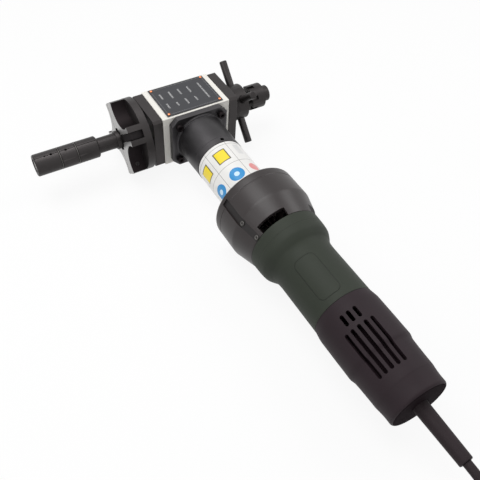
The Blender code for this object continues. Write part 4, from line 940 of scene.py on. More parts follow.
def flange_screws():
    low, high = SCREW_HEAD
    screw = turned("screw_source", "motor", (
        (FLANGE[1] - SCREW_LENGTH, SCREW_SHANK_RADIUS), (low, SCREW_SHANK_RADIUS),
        (low, SCREW_HEAD_RADIUS), (high, SCREW_HEAD_RADIUS)), SMALL_SIDES)
    socket = (high - SOCKET_DEPTH, high + OVERRUN)
    cut(screw, disc("screw_socket", "motor", socket, SOCKET_RADIUS, SOCKET_SIDES))
    ease(screw, THIN_EDGE)
    # The screw heads get the same near-black steel: painted shade, so that they look like dark holes.
    screws = repeated_at_corners("flange_screws", screw, "hollow_steel", SCREW_SPACING, tilt=pi / 2)
    finished(screws, "hollow_steel", "machine", *numbered("flange_screw", CORNER_COUNT))


def collar_and_sleeve():
    collar = tube("neck_collar", "motor", COLLAR, NECK_END[1], RING_BORE_RADIUS)
    middle = on_axis("motor", sum(COLLAR) / 2)
    cut(collar, pin("collar_hole", middle, direction("motor", COLLAR_HOLE_ANGLE),
                    (RING_BORE_RADIUS - OVERRUN, NECK_END[1] + OVERRUN), COLLAR_HOLE_RADIUS))
    finished(collar, "black_steel_neck", "machine", "tube_collar", edge=FLANGE_EDGE)
    sleeve = tube("sleeve", "motor", SLEEVE, SLEEVE_RADIUS, RING_BORE_RADIUS)
    finished(sleeve, "white_sleeve", "machine", "printed_sleeve", edge=THIN_EDGE)


# Motor: gear cover, green housing and rear cover
COVER_FRONT = 0.157
COVER_RADIUS = 0.0465
COVER_ROUNDING = 0.0035
COVER_GROOVE = (0.1674, 0.168, 0.1686)
COVER_GROOVE_DEPTH = 0.0006
COVER_SHOULDER = ((0.1912, 0.0465), (0.1930, 0.0463), (0.1950, 0.0457))
COVER_END = (0.218, 0.0395)
COVER_WALL = 0.0042
AIR_OUTLET_START = 0.2095
AIR_OUTLET_SPAN = 45
AIR_OUTLET_ANGLES = (115, 25, -65)
CHANNEL_START = 0.163
CHANNEL_WIDTH = 0.008
CHANNEL_DEPTH = 0.0022
CHANNEL_ANGLE = 148
CHANNEL_SCREWS = (0.1955, 0.2155)
CHANNEL_SCREW_RADIUS = 0.0024
CHANNEL_SCREW_HEIGHT = 0.0014
MOULDED_EDGE = 0.0006
HOUSING_EDGE = 0.0003
HOUSING_PROFILE = ((0.2183, 0.0395), (0.2215, 0.0394), (0.230, 0.0391), (0.237, 0.0383), (0.2425, 0.0357),
                   (0.247, 0.033), (0.252, 0.0317), (0.259, 0.0313), (0.314, 0.0313))
HOUSING_BORE_RADIUS = 0.0283
HOUSING_RECESS = (0.2215, 0.035)
SWITCH_ANGLE = 296
SWITCH_FLAT = 0.030
SWITCH_POCKET = (0.267, 0.292)
SWITCH = (0.273, 0.291)
SWITCH_HALF_WIDTH = 0.0065
SWITCH_ROOM = 0.001
SWITCH_HEIGHT = 0.0042
SWITCH_RIBS = 5
SWITCH_RIB_GAP = 0.001
SWITCH_RIB_DEPTH = 0.00126
REAR_PROFILE = ((0.3143, 0.0313), (0.325, 0.0327), (0.345, 0.0327), (0.361, 0.0326), (0.366, 0.0326),
                (0.372, 0.0311), (0.390, 0.0302), (0.3985, 0.02995), (0.4005, 0.0296), (0.411, 0.0287),
                (0.4145, 0.0287))
REAR_END = 0.4175
REAR_TAIL_RADIUS = 0.0287
REAR_ROUNDING = 0.003
REAR_WALL = 0.003
REAR_BORE_RADIUS = 0.0285
REAR_CHAMBER = (0.372, 0.0255)
REAR_FACING = 0.8
SLOT_WIDTH = 0.0036
SLOT_END_STEPS = 6
SLOT_ROWS = ((3, 0.3275, 0.339), (5, 0.343, 0.389))
SLOT_STEP = 12.2
SLOT_FACES = (115, 295)
# Dark sheet inside the slots, painted shade: its span and radius
SLOT_SHADE_SHEET = (0.3405, 0.3905)
SLOT_SHADE_SHEET_RADIUS = 0.0251
RELIEF_HOLE_RADIUS = 0.0076
RELIEF = ((0.4102, 0.0095), (0.4142, 0.0095), (0.4142, 0.0073), (0.4175, 0.0073), (0.471, 0.0064))
RELIEF_EDGE = 0.0009


def gear_cover():
    inner = COVER_RADIUS - COVER_WALL
    cover_end, end_radius = COVER_END
    cover = turned("gear_case", "motor", (
        *rounded(COVER_FRONT, COVER_RADIUS, COVER_ROUNDING),
        (COVER_GROOVE[0], COVER_RADIUS),
        (COVER_GROOVE[1], COVER_RADIUS - COVER_GROOVE_DEPTH),
        (COVER_GROOVE[2], COVER_RADIUS),
        *COVER_SHOULDER,
        COVER_END,
        (cover_end, end_radius - COVER_WALL),
        (COVER_SHOULDER[-1][0], inner),
        (COVER_FRONT + COVER_WALL, inner),
        (COVER_FRONT + COVER_WALL, SLEEVE_RADIUS + GAP),
        (COVER_FRONT, SLEEVE_RADIUS + GAP)), hollow=True)
    cut(cover, *[sector("air_outlet", "motor", (AIR_OUTLET_START, cover_end + OVERRUN),
                        end_radius - 2 * COVER_WALL, COVER_RADIUS, angle, AIR_OUTLET_SPAN)
                 for angle in AIR_OUTLET_ANGLES],
        radial_box("channel", "motor", (CHANNEL_START, cover_end + OVERRUN), CHANNEL_ANGLE,
                   COVER_RADIUS - CHANNEL_DEPTH, COVER_RADIUS + OVERRUN, CHANNEL_WIDTH / 2))
    finished(cover, "case_plastic", "machine", "gear_cover", edge=MOULDED_EDGE)
    floors = (COVER_RADIUS - CHANNEL_DEPTH, end_radius)
    for k, (station, floor) in enumerate(zip(CHANNEL_SCREWS, floors), 1):
        channel_screw(f"cover_screw_{k}", station, floor)


def channel_screw(name, station, floor):
    """A screw whose head stands on the channel's floor."""
    out = direction("motor", CHANNEL_ANGLE)
    base = on_axis("motor", station) + out * floor
    screw = bar(name, base, out, [(height, CHANNEL_SCREW_RADIUS) for height in (
        -OVERRUN, 0, CHANNEL_SCREW_HEIGHT)])
    cut(screw, pin("screw_drive", base, out, (0, 2 * CHANNEL_SCREW_HEIGHT), CHANNEL_SCREW_RADIUS / 2,
                   SOCKET_SIDES))
    finished(screw, "tool_steel", "machine", edge=THIN_EDGE)


def housing():
    front = HOUSING_PROFILE[0][0]
    end, end_radius = HOUSING_PROFILE[-1]
    grip = turned("grip_housing", "motor", (
        *smooth_profile(HOUSING_PROFILE), (end, HOUSING_BORE_RADIUS),
        (HOUSING_RECESS[0], HOUSING_BORE_RADIUS), HOUSING_RECESS, (front, HOUSING_RECESS[1])), hollow=True)
    cut(grip, radial_box("switch_pocket", "motor", SWITCH_POCKET, SWITCH_ANGLE, SWITCH_FLAT,
                         end_radius + OVERRUN, SWITCH_HALF_WIDTH + SWITCH_ROOM))
    finished(grip, "green_plastic", "machine", "motor_housing", edge=HOUSING_EDGE)


def slide_switch():
    start, end = SWITCH
    inner = SWITCH_FLAT + GAP
    top = inner + SWITCH_HEIGHT
    slide = radial_box("switch_knob", "motor", SWITCH, SWITCH_ANGLE, inner, top, SWITCH_HALF_WIDTH)
    middles = [start + (end - start) * k / (SWITCH_RIBS + 1) for k in range(1, SWITCH_RIBS + 1)]
    cut(slide, *[radial_box("rib_gap", "motor", (middle - SWITCH_RIB_GAP / 2, middle + SWITCH_RIB_GAP / 2),
                            SWITCH_ANGLE, top - SWITCH_RIB_DEPTH, top + OVERRUN, SWITCH_HALF_WIDTH + OVERRUN)
                 for middle in middles])
    finished(slide, "black_plastic", "switch", "slide_switch", edge=THIN_EDGE)


def rear_cover():
    wall = REAR_END - REAR_WALL
    cover = turned("rear_case", "motor", (
        *smooth_profile(REAR_PROFILE)[:-1], *rounded_tip(REAR_END, REAR_TAIL_RADIUS, REAR_ROUNDING),
        (REAR_END, RELIEF_HOLE_RADIUS), (wall, RELIEF_HOLE_RADIUS), (wall, REAR_CHAMBER[1]), REAR_CHAMBER,
        (REAR_CHAMBER[0], REAR_BORE_RADIUS), (REAR_PROFILE[0][0], REAR_BORE_RADIUS)), hollow=True)
    cut(cover, *[slot_cutter(middle + SLOT_STEP * (k - (count - 1) / 2), start, end)
                 for middle in SLOT_FACES for count, start, end in SLOT_ROWS for k in range(count)])
    finished(cover, "brown_plastic", "machine", "rear_cover", edge=THIN_EDGE)
    # Painted shade: the end face of the rear cover gets a darker, duller copy of the brown plastic.
    paint_faces(cover, "end_plastic", lambda place, normal: (
        normal.y < -REAR_FACING and place.y < REAR_ROUNDING - REAR_END))
    # A dark sheet inside the slots: painted shade, which keeps them dark and stops the view through them.
    shade_sheet = tube("dust_screen", "motor", SLOT_SHADE_SHEET, SLOT_SHADE_SHEET_RADIUS, SLOT_SHADE_SHEET_RADIUS - GAP)
    finished(shade_sheet, "end_plastic", "machine")
    relief = turned("cord_relief", "motor", RELIEF, SMALL_SIDES)
    finished(relief, "rubber", "machine", "strain_relief", edge=RELIEF_EDGE, segments=3)


def slot_cutter(angle, start, end):
    """A slot with round ends, along the motor."""
    out = direction("motor", angle)
    side = direction("motor", angle + 90)
    half = SLOT_WIDTH / 2
    outline = []
    for centre, first in ((end - half, -90), (start + half, 90)):
        for k in range(SLOT_END_STEPS + 1):
            turn = radians(first + 180 * k / SLOT_END_STEPS)
            outline.append(on_axis("motor", centre + half * cos(turn)) + side * half * sin(turn)
                           + out * (REAR_CHAMBER[1] - OVERRUN))
    return prism("slot", outline, out * (REAR_PROFILE[1][1] - REAR_CHAMBER[1] + 2 * OVERRUN))


# Cutter head with its bits
HEAD_BACK = -0.0585
HEAD_FLANGE_FRONT = -0.067
HEAD_FRONT = -0.0835
HEAD_RADIUS = 0.042
HEAD_CORE_RADIUS = 0.0225
HEAD_BORE_RADIUS = 0.0112
HEAD_SEAT_FRONT = -0.070
HEAD_SEAT_RADIUS = 0.0153
HEAD_EDGE = 0.0005
LOBES = 4
LOBE_ANGLE = 39
LOBE_SPAN = 30
TOOL_WIDTH = 0.0084
TOOL_CORNERS = ((-0.0667, 0.022), (-0.0667, 0.036), (-0.0795, 0.036), (-0.0855, 0.025), (-0.0855, 0.022))
FLUSH_CORNERS = ((-0.0667, 0.0125), (-0.0667, 0.0416), (-0.0835, 0.0416), (-0.0835, 0.0125))
TOOL_SCREW_RADIUS = 0.0022
TOOL_SCREW_RADIAL = 0.032
TOOL_SCREW_LENGTH = 0.0045
FACE_DEPTH = 0.0035
FRONT_FACING = 0.9


def cutter_head():
    """A disc with hollows between its lobes, whose slots, bore and screw holes are cut in that order."""
    head = disc("milling_head", "mandrel", (HEAD_FRONT, HEAD_BACK), HEAD_RADIUS)
    angles = ring_angles(LOBES, LOBE_ANGLE)
    for angle in angles:
        cut(head, scallop(angle + 180 / LOBES))
    cut(head, *[radial_box("tool_slot", "mandrel", (HEAD_FRONT - OVERRUN, HEAD_FLANGE_FRONT), angle,
                           HEAD_BORE_RADIUS - OVERRUN, HEAD_RADIUS + OVERRUN, TOOL_WIDTH / 2 + GAP)
                for angle in angles])
    cut(head, through("head_bore", "mandrel", (HEAD_FRONT, HEAD_BACK), HEAD_BORE_RADIUS, FINE_SIDES),
        disc("head_seat", "mandrel", (HEAD_SEAT_FRONT, HEAD_BACK + OVERRUN), HEAD_SEAT_RADIUS))
    cut(head, *[pin("screw_hole", screw_base(angle), direction("mandrel", angle + 90),
                    (-GAP, HEAD_CORE_RADIUS), TOOL_SCREW_RADIUS + GAP) for angle in angles])
    finished(head, "black_steel", "cutter", "cutter_head", edge=HEAD_EDGE)
    paint_faces(head, "bare_face", at_front)
    # Painted shade: the faces in the hollows between the lobes get a darker, rougher steel.
    paint_faces(head, "hollow_steel", lambda place, normal: (
        hypot(place.y, place.z) < HEAD_RADIUS - HEAD_EDGE and normal.x > -FRONT_FACING
        and place.x < HEAD_FLANGE_FRONT))


def at_front(place, normal):
    return normal.x < -FRONT_FACING and place.x < HEAD_FRONT + FACE_DEPTH


def scallop(angle):
    """The round hollow between two lobes, down to the core of the head."""
    depth = HEAD_RADIUS * cos(radians(180 / LOBES - LOBE_SPAN / 2)) - HEAD_CORE_RADIUS
    distance = (HEAD_RADIUS ** 2 - HEAD_CORE_RADIUS ** 2) / (2 * depth)
    return pin("scallop", polar("mandrel", HEAD_FRONT - OVERRUN, distance, angle), (1, 0, 0),
               (0, HEAD_FLANGE_FRONT - HEAD_FRONT + OVERRUN), distance - HEAD_CORE_RADIUS, FINE_SIDES)


def screw_base(angle):
    """Where a clamp screw stands on the side of its bit."""
    station = (HEAD_FLANGE_FRONT + HEAD_FRONT) / 2
    side = direction("mandrel", angle + 90)
    return polar("mandrel", station, TOOL_SCREW_RADIAL, angle) + side * (TOOL_WIDTH / 2 + GAP)


def tool_bits():
    """Two bits that stand out with a sloped edge, two that end flush with the head, and their screws."""
    side = direction("mandrel", 90)
    pair = LOBES // 2
    for k, (name, corners) in enumerate((("sloped_bits", TOOL_CORNERS), ("flush_bits", FLUSH_CORNERS))):
        outline = [polar("mandrel", station, radius, 0) for station, radius in corners]
        bit = prism("bit_source", [point - side * TOOL_WIDTH / 2 for point in outline], side * TOOL_WIDTH)
        ease(bit, THIN_EDGE)
        bits = repeated_round(name, bit, "bit_steel", pair, LOBE_ANGLE + 360 * k / LOBES)
        finished(bits, "bit_steel", "cutter", *[f"tool_bit_{k + 1 + pair * place}" for place in range(pair)])
    paint_faces(bits, "bare_face", at_front)
    base = screw_base(0)
    screw = pin("grub_source", base, side, (0, TOOL_SCREW_LENGTH), TOOL_SCREW_RADIUS)
    cut(screw, pin("grub_socket", base, side, (TOOL_SCREW_LENGTH / 2, TOOL_SCREW_LENGTH + OVERRUN),
                   TOOL_SCREW_RADIUS / 2, SOCKET_SIDES))
    ease(screw, THIN_EDGE)
    screws = repeated_round("tool_grub_screws", screw, "black_steel", LOBES, LOBE_ANGLE)
    finished(screws, "black_steel", "cutter", *numbered("tool_screw", LOBES))


# Mandrel, feed wheel and clamp
SHAFT_PROFILE = ((-0.1107, 0.0087), (-0.089, 0.0087), (-0.089, 0.0105), (-0.085, 0.0105), (-0.085, 0.0087),
                 (0.020, 0.0087), (0.020, 0.008))
SHAFT_END = 0.0857
SHAFT_EDGE = 0.00015
THREAD_RADIUS = 0.008
THREAD_DEPTH = 0.0007
THREAD_PITCH = 0.0025
THREAD_START = 0.022
THREAD_CREST = 0.3
THREAD_FLANK = 0.6
ROD_HOLE_RADIUS = 0.0043
SHOES = 3
SHOE_ANGLE = 135
SHOE_RADIUS = 0.0122
SHOE_START = 0.111
SHOE_END = 0.182
SHOE_SLIT = 0.0006
SHOE_CHAMFER = 0.001
SHOE_ARC_STEPS = 24
SHOE_GROOVES = (0.1354, 0.1544)
SHOE_GROOVE_WIDTH = 0.002
SHOE_GROOVE_RADIUS = 0.0108
SHOE_HOLES = ((0.170, 75, 0.0009), (0.163, 75, 0.0014), (0.1467, 75, 0.0014))
SPRING_RADIUS = 0.0119
SPRING_WIRE = 0.0005
SPRING_STEPS = 12
CONE_SLOPE = 0.06
CONE_START = 0.121
ROD_RADIUS = 0.004
ROD_TIP = 0.181
ROD_END = 0.1127
FEED_SLEEVE = (0.0475, 0.012)
HUB = (0.0625, 0.0765)
HUB_RADIUS = 0.021
HUB_EDGE = 0.0008
HUB_BORE_RADIUS = 0.0083
SPOKES = 4
SPOKE_ANGLE = 43
SPOKE_RADIUS = 0.0045
SPOKE_ROOT = 0.012
SPOKE_TIP = 0.051
SPOKE_ROUNDING = 0.0012
KNOB = (0.086, 0.104)
KNOB_RADIUS = 0.015
KNOB_NOTCHES = 6
KNOB_NOTCH_WIDTH = 0.005
KNOB_NOTCH_DEPTH = 0.003
KNOB_NOTCH_LENGTH = 0.008
KNOB_EDGE = 0.0009
NUT = (0.105, 0.1135)
NUT_RADIUS = 0.0096
NUT_EDGE = 0.0008


def mandrel():
    threads = []
    for k in range(int((SHAFT_END - THREAD_START) / THREAD_PITCH)):
        start = THREAD_START + THREAD_PITCH * k
        threads += [(start, THREAD_RADIUS), (start + THREAD_PITCH * THREAD_CREST, THREAD_RADIUS),
                    (start + THREAD_PITCH * THREAD_FLANK, THREAD_RADIUS - THREAD_DEPTH)]
    shaft = bored("threaded_shaft", "mandrel", (
        *SHAFT_PROFILE, *threads, (SHAFT_END, THREAD_RADIUS - THREAD_DEPTH)), ROD_HOLE_RADIUS)
    finished(shaft, "black_steel", "mandrel", "mandrel_shaft", edge=SHAFT_EDGE)
    for k, station in enumerate(SHOE_GROOVES, 1):
        spring = turned(f"garter_spring_{k}", "mandrel", [
            (-station + SPRING_WIRE * sin(angle), SPRING_RADIUS + SPRING_WIRE * cos(angle))
            for angle in (FULL_TURN * step / SPRING_STEPS for step in range(SPRING_STEPS))], hollow=True)
        finished(spring, "tool_steel", "mandrel", f"ring_spring_{k}")
    for k, (letter, middle) in enumerate(zip("abc", ring_angles(SHOES, SHOE_ANGLE)), 1):
        shoe(f"expanding_shoe_{k}", middle, f"shoe_{letter}", f"shoe_{k}")


def shoe(name, middle, body, node):
    """One third of the expanding sleeve, tapered inside for the cone."""
    half = 180 / SHOES - degrees(SHOE_SLIT / 2 / SHOE_RADIUS)
    stops = [(SHOE_END, SHOE_RADIUS - SHOE_CHAMFER), (SHOE_END - SHOE_CHAMFER, SHOE_RADIUS)]
    wall = SHOE_GROOVE_WIDTH / 2
    for groove in reversed(SHOE_GROOVES):
        stops += [(groove + wall, SHOE_RADIUS), (groove + wall - GAP, SHOE_GROOVE_RADIUS),
                  (groove - wall + GAP, SHOE_GROOVE_RADIUS), (groove - wall, SHOE_RADIUS)]
    stops += [(CONE_START, SHOE_RADIUS), (SHOE_START + SHOE_CHAMFER, SHOE_RADIUS),
              (SHOE_START, SHOE_RADIUS - SHOE_CHAMFER)]
    turns = [2 * k / SHOE_ARC_STEPS - 1 for k in range(SHOE_ARC_STEPS + 1)]
    rings = []
    for distance, outer in stops:
        inner = ROD_HOLE_RADIUS + CONE_SLOPE * max(0, distance - CONE_START)
        rings.append([polar("mandrel", -distance, outer, middle + half * turn) for turn in turns]
                     + [polar("mandrel", -distance, inner, middle - half * turn) for turn in turns])
    piece = lofted(name, rings)
    for station, angle, radius in SHOE_HOLES:
        if abs((angle - middle + 180) % 360 - 180) < 90:
            cut(piece, pin("shoe_hole", on_axis("mandrel", -station), direction("mandrel", angle),
                           (0, SHOE_RADIUS + OVERRUN), radius))
    finished(piece, "black_steel", body, node, edge=SHAFT_EDGE)


def feed_wheel():
    hub = bored("feed_wheel_hub", "mandrel", (
        FEED_SLEEVE, (HUB[0], FEED_SLEEVE[1]), (HUB[0], HUB_RADIUS), (HUB[1], HUB_RADIUS)), HUB_BORE_RADIUS)
    middle = on_axis("mandrel", sum(HUB) / 2)
    cut(hub, *[pin("spoke_hole", middle, direction("mandrel", angle),
                   (SPOKE_ROOT - GAP, HUB_RADIUS + OVERRUN), SPOKE_RADIUS + GAP)
               for angle in ring_angles(SPOKES, SPOKE_ANGLE)])
    finished(hub, "black_steel", "feed_wheel", "feed_hub", edge=HUB_EDGE, segments=3)
    spoke = bar("spoke_source", CROSSING, direction("mandrel", 0), (
        (SPOKE_ROOT, SPOKE_RADIUS), *rounded_tip(SPOKE_TIP, SPOKE_RADIUS, SPOKE_ROUNDING)))
    spokes = repeated_round("wheel_spokes", spoke, "black_steel", SPOKES, SPOKE_ANGLE, middle)
    finished(spokes, "black_steel", "feed_wheel", *numbered("spoke", SPOKES))


def clamp():
    knob = tube("castle_knob", "mandrel", KNOB, KNOB_RADIUS, ROD_HOLE_RADIUS)
    cut(knob, *[radial_box("knob_notch", "mandrel", (KNOB[0] - OVERRUN, KNOB[0] + KNOB_NOTCH_LENGTH), angle,
                           KNOB_RADIUS - KNOB_NOTCH_DEPTH, KNOB_RADIUS + OVERRUN, KNOB_NOTCH_WIDTH / 2)
                for angle in ring_angles(KNOB_NOTCHES, 180 / KNOB_NOTCHES)])
    finished(knob, "black_steel", "clamp", "clamp_knob", edge=KNOB_EDGE, segments=3)
    rod = turned("pull_rod", "mandrel", (
        (-ROD_TIP, ROD_RADIUS + CONE_SLOPE * (ROD_TIP - CONE_START)), (-CONE_START, ROD_RADIUS),
        (ROD_END, ROD_RADIUS)), SMALL_SIDES)
    finished(rod, "bright_steel", "rod", "draw_rod", edge=THIN_EDGE)
    nut = tube("end_nut", "mandrel", NUT, NUT_RADIUS, ROD_HOLE_RADIUS)
    finished(nut, "black_steel", "rod", "rod_end_nut", edge=NUT_EDGE, segments=3)


# Printed sleeve. A place is a station and an angle; a share is how far an ink covers the white.
YELLOW = (0.88, 0.68, 0.01, 1)
DARK_INK = (0.03, 0.028, 0.02, 1)
BLUE = (0.008, 0.25, 0.58, 1)
PALE_BLUE = (0.55, 0.75, 0.90, 1)
RED = (0.72, 0.10, 0.10, 1)
GREY_INK = (0.14, 0.135, 0.13, 1)
FAINT_INK = grey(0.62)
LINE_SHARE = 0.8
RED_SHARE = 0.8
FAINT_SHARE = 0.7
SLEEVE_WHITE = (0.80, 0.79, 0.77)
SLEEVE_TONES = ((0.76, 0.75, 0.73, 1), (0.84, 0.83, 0.81, 1))
SLEEVE_CLOUD = (45, 4)
SLEEVE_GRAIN = (900, 2)
SLEEVE_GLOSS = (0.28, 0.1)
SLEEVE_COAT = 0.25
SLEEVE_BUMP = (0.1, 0.00004)
SLEEVE_INK_EDGE = 0.00012
SLEEVE_LINES = (0.090, 0.119)
SLEEVE_COLUMNS = (84, 140)
SLEEVE_LINE_WIDTH = 0.00025
YELLOW_PATCHES = ((0.104, 111), (0.104, 166))
YELLOW_HALF = (0.0086, 0.0075)
YELLOW_INNER_HALF = (0.0075, 0.0064)
BLUE_DISCS = ((0.135, 109), (0.135, 165))
BLUE_RADIUS = 0.0085
PALE_BLUE_RADIUS = 0.002975
RED_SPOT = (0.132, 60)
RED_RADIUS = 0.006
FAINT_FIELD = (0.101, 64)
FAINT_HALF = (0.008, 0.0035)

# Print of the nameplate. A field is its place along the plate, its middle across and its half width.
PLATE_INK = grey(0.55)
PLATE_INK_EDGE = 0.0001
PLATE_BORDER_INSET = 0.0025
BORDER_SHARE = 0.5
FIELD_SHARE = 0.7
FIELD_WEAR = (1100, 2)
FIELD_WEAR_EDGE = (0.47, 0.06)
INK_METALLIC_LOSS = 0.4
PLATE_FIELDS = ((0.0235, 0.0, 0.0155), (0.0090, 0.0086, 0.0060), (0.0090, -0.0102, 0.0040),
                (-0.0028, 0.0092, 0.0054), (-0.0028, -0.0102, 0.0052), (-0.0145, 0.0080, 0.0066),
                (-0.0145, -0.0106, 0.0034), (-0.0260, 0.0090, 0.0050), (-0.0260, -0.0096, 0.0046))
PLATE_FIELD_HALF = 0.0010


def sleeve_print(name):
    """White plastic with plain coloured patches in a grid of thin lines. It carries no sign or lettering."""
    smooth, by_grain = SLEEVE_GLOSS
    shade = Shade(name, SLEEVE_WHITE, smooth, coat=SLEEVE_COAT)
    station, turn, *_ = shade.round_motor()
    arc = turn * SLEEVE_RADIUS
    colour = shade.mix(*SLEEVE_TONES, shade.noise(*SLEEVE_CLOUD))

    def arc_at(angle):
        return radians(angle) * SLEEVE_RADIUS

    def patch(place, half):
        middle, angle = place
        far = station.beyond(middle, half[0]).high(arc.beyond(arc_at(angle), half[1]))
        return far.below(0, SLEEVE_INK_EDGE)

    def spot(place, radius):
        middle, angle = place
        return (station - middle).reach(arc - arc_at(angle)).below(radius, SLEEVE_INK_EDGE)

    lines = [(station - line).abs() for line in SLEEVE_LINES]
    lines += [(arc - arc_at(angle)).abs() for angle in SLEEVE_COLUMNS]
    for line in lines:
        colour = shade.mix(colour, GREY_INK, line.below(SLEEVE_LINE_WIDTH, SLEEVE_INK_EDGE) * LINE_SHARE)
    for place in YELLOW_PATCHES:
        colour = shade.mix(colour, DARK_INK, patch(place, YELLOW_HALF))
        colour = shade.mix(colour, YELLOW, patch(place, YELLOW_INNER_HALF))
    for place in BLUE_DISCS:
        colour = shade.mix(colour, BLUE, spot(place, BLUE_RADIUS))
        colour = shade.mix(colour, PALE_BLUE, spot(place, PALE_BLUE_RADIUS))
    colour = shade.mix(colour, RED, spot(RED_SPOT, RED_RADIUS) * RED_SHARE)
    colour = shade.mix(colour, FAINT_INK, patch(FAINT_FIELD, FAINT_HALF) * FAINT_SHARE)
    grain = shade.noise(*SLEEVE_GRAIN)
    shade.surface(colour, smooth + grain * by_grain, grain, SLEEVE_BUMP)
    return shade


def plate_metal(name, colour, roughness, finish):
    """Dark anodised plate with a thin pale border and empty pale fields."""
    shade = Varied(name, colour, roughness, finish)
    along, across, _ = shade.parts()
    across = across - NAMEPLATE_CENTRE.y
    half_length = NAMEPLATE_HIGH[0] - PLATE_BORDER_INSET
    half_width = (NAMEPLATE_HIGH[1] - NAMEPLATE_LOW[1]) / 2 - PLATE_BORDER_INSET
    border = along.beyond(0, half_length).high(across.beyond(0, half_width)).abs()
    ink = border.below(PLATE_INK_EDGE, PLATE_INK_EDGE) * BORDER_SHARE
    worn = shade.noise(*FIELD_WEAR).above(*FIELD_WEAR_EDGE)
    for place, middle, half in PLATE_FIELDS:
        field = along.beyond(place, PLATE_FIELD_HALF).high(across.beyond(middle, half))
        ink = ink.high(field.below(0, PLATE_INK_EDGE) * worn * FIELD_SHARE)
    shade.set("Metallic", finish.metallic - ink * INK_METALLIC_LOSS)
    shade.surface(shade.mix(shade.tone, PLATE_INK, ink), shade.gloss, shade.grain, finish.bump)
    return shade


# Raised pad on the grip, and the seam of its mould, whose lines get painted shade
PAD_MIDDLE = (0.2835, 116)
PAD_HALF = (0.0235, 0.0115)
PAD_CORNER = 0.006
PAD_STEP = 0.0004
SEAM = 0.230
SEAM_EDGE = (0.0003, 0.0002)
SEAM_SHARE = 0.4
GROOVE_SHADE_TONE = 0.45
GROOVE_SHADE_SHARE = 0.5
RELIEFS = (2, 0.12, 0.6)

# Screw channel of the gear cover, with painted shade on its floor
CHANNEL_SIDE_STEP = 0.0002
CHANNEL_SHADE_TONE = 0.35
CHANNEL_DULLNESS = 0.25


def grip_plastic(name, colour, roughness, finish):
    """Grained green plastic with the outline of a raised pad and the seam of its mould, both lines darkened
    with painted shade.
    """
    shade = Varied(name, colour, roughness, finish)
    station, turn, *_ = shade.round_motor()
    radius = HOUSING_PROFILE[-1][1]
    middle, angle = PAD_MIDDLE
    side = (turn * radius).beyond(radians(angle) * radius, PAD_HALF[1] - PAD_CORNER).high(0)
    far = station.beyond(middle, PAD_HALF[0] - PAD_CORNER).high(0)
    reach = side.reach(far)
    pad = reach.below(PAD_CORNER, PAD_STEP)
    seam = (station - SEAM).abs().below(*SEAM_EDGE)
    groove = (reach - PAD_CORNER).abs().below(PAD_STEP, PAD_STEP).high(seam * SEAM_SHARE)
    by_pad, by_grain, by_seam = RELIEFS
    # Painted shade: the pad's outline and the mould seam are darkened.
    shade.surface(shade.mix(shade.tone, shaded(colour, GROOVE_SHADE_TONE), groove * GROOVE_SHADE_SHARE), shade.gloss,
                  pad * by_pad + shade.grain * by_grain - seam * by_seam, finish.bump)
    return shade


def cover_plastic(name, colour, roughness, finish, slot):
    """Plastic of the gear cover, darker and duller in the screw channel: painted shade on the channel's
    floor.
    """
    shade = Varied(name, colour, roughness, finish, slot)
    station, turn, across, up = shade.round_motor()
    side = (turn - radians(CHANNEL_ANGLE)).abs() * COVER_RADIUS
    inside = side.below(CHANNEL_WIDTH / 2, CHANNEL_SIDE_STEP) * station.above(CHANNEL_START - GAP)
    # Painted shade: the floor of the channel is darkened.
    low = inside * across.reach(up).below(COVER_RADIUS - CHANNEL_DEPTH / 4)
    shade.surface(shade.mix(shade.tone, shaded(colour, CHANNEL_SHADE_TONE), low),
                  shade.gloss + low * CHANNEL_DULLNESS, shade.grain, finish.bump)
    return shade


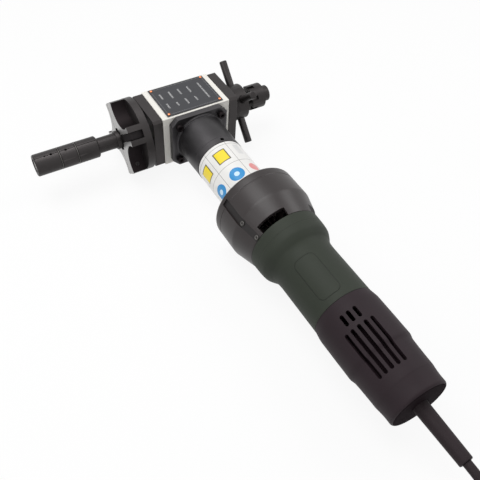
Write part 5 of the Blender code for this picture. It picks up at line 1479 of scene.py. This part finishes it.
# Materials: what makes it, name, colour, roughness, finish and the slot it counts under, if not its own name
MATERIALS = (
    (plain, "pale_paint", (0.80, 0.78, 0.73), 0.42, SATIN),
    (blackened_steel, "black_steel", (0.030, 0.027, 0.027), 0.42, OXIDE),
    # Painted light: a lighter copy of the black steel for the neck flange, tube and collar, with turning
    # marks along the motor axis.
    (blackened_steel, "black_steel_neck", (0.042, 0.040, 0.042), 0.40, NECK_OXIDE, "black_steel"),
    (plain, "bright_steel", (0.56, 0.55, 0.53), 0.36, MACHINED),
    (plain, "bare_face", (0.46, 0.455, 0.45), 0.45, MACHINED, "black_steel"),
    # Painted shade: a near-black steel for the hollows of the cutter head and the flange screws.
    (plain, "hollow_steel", (0.022, 0.018, 0.019), 0.55, METAL, "black_steel"),
    # Dark steel of the tool bits; inside the motor it is also painted shade on the stator and the rear
    # armature bearing.
    (plain, "bit_steel", (0.030, 0.027, 0.028), 0.5, METAL, "bright_steel"),
    (plain, "tool_steel", (0.12, 0.115, 0.11), 0.42, METAL, "bright_steel"),
    (plate_metal, "grey_plate", (0.046, 0.047, 0.052), 0.42, BRUSHED),
    (plain, "copper", (0.80, 0.27, 0.12), 0.34, METAL),
    # Painted shade: a near-black copper for the armature, seen through the slots.
    (plain, "winding", (0.022, 0.012, 0.010), 0.5, METAL, "copper"),
    (plain, "brass", (0.10, 0.07, 0.04), 0.38, METAL),
    (sleeve_print, "white_sleeve"),
    (plain, "black_plastic", (0.021, 0.016, 0.016), 0.42, MOULDED),
    (cover_plastic, "case_plastic", (0.021, 0.016, 0.016), 0.36, CASE, "black_plastic"),
    (grip_plastic, "green_plastic", (0.024, 0.029, 0.021), 0.58, GRIP),
    (plain, "brown_plastic", (0.017, 0.010, 0.013), 0.6, DULL_MOULDED),
    # Painted shade: a darker, duller copy of the brown plastic, for the rear cover's end face and the sheet
    # inside the slots.
    (plain, "end_plastic", (0.0102, 0.0060, 0.0078), 0.85, DARK_MOULDED, "brown_plastic"),
    (plain, "rubber", (0.016, 0.010, 0.012), 0.6, SOFT),
)

place_camera()
white_surroundings()
studio_floor()
for lamp in LAMPS:
    soft_light(*lamp)
LOOKS = {name: make(name, *look) for make, name, *look in MATERIALS}

cord_and_coil()
gearbox()
nameplate()
neck_flange()
flange_screws()
collar_and_sleeve()
gear_cover()
housing()
slide_switch()
rear_cover()
cutter_head()
tool_bits()
mandrel()
feed_wheel()
clamp()

# The solids inside keep their own shape; only their materials are set. The winding, the stator and the rear
# armature bearing get near-black materials: painted shade, which keeps the slots and outlets dark.
INNER_NODES = {
    "winding": ("armature",),
    "brass": ("brush_holder_1", "brush_holder_2"),
    "black_plastic": ("cooling_fan",),
    "bright_steel": ("spindle", "bevel_gear", "drive_shaft", "spindle_bearing_front", "spindle_bearing_rear",
                     "pinion_bearing", "armature_bearing_front"),
    "bit_steel": ("stator", "armature_bearing_rear"),
}
for look, nodes in INNER_NODES.items():
    for node in nodes:
        for place in frame["nodes"][node].material_slots:
            place.material = LOOKS[look].material
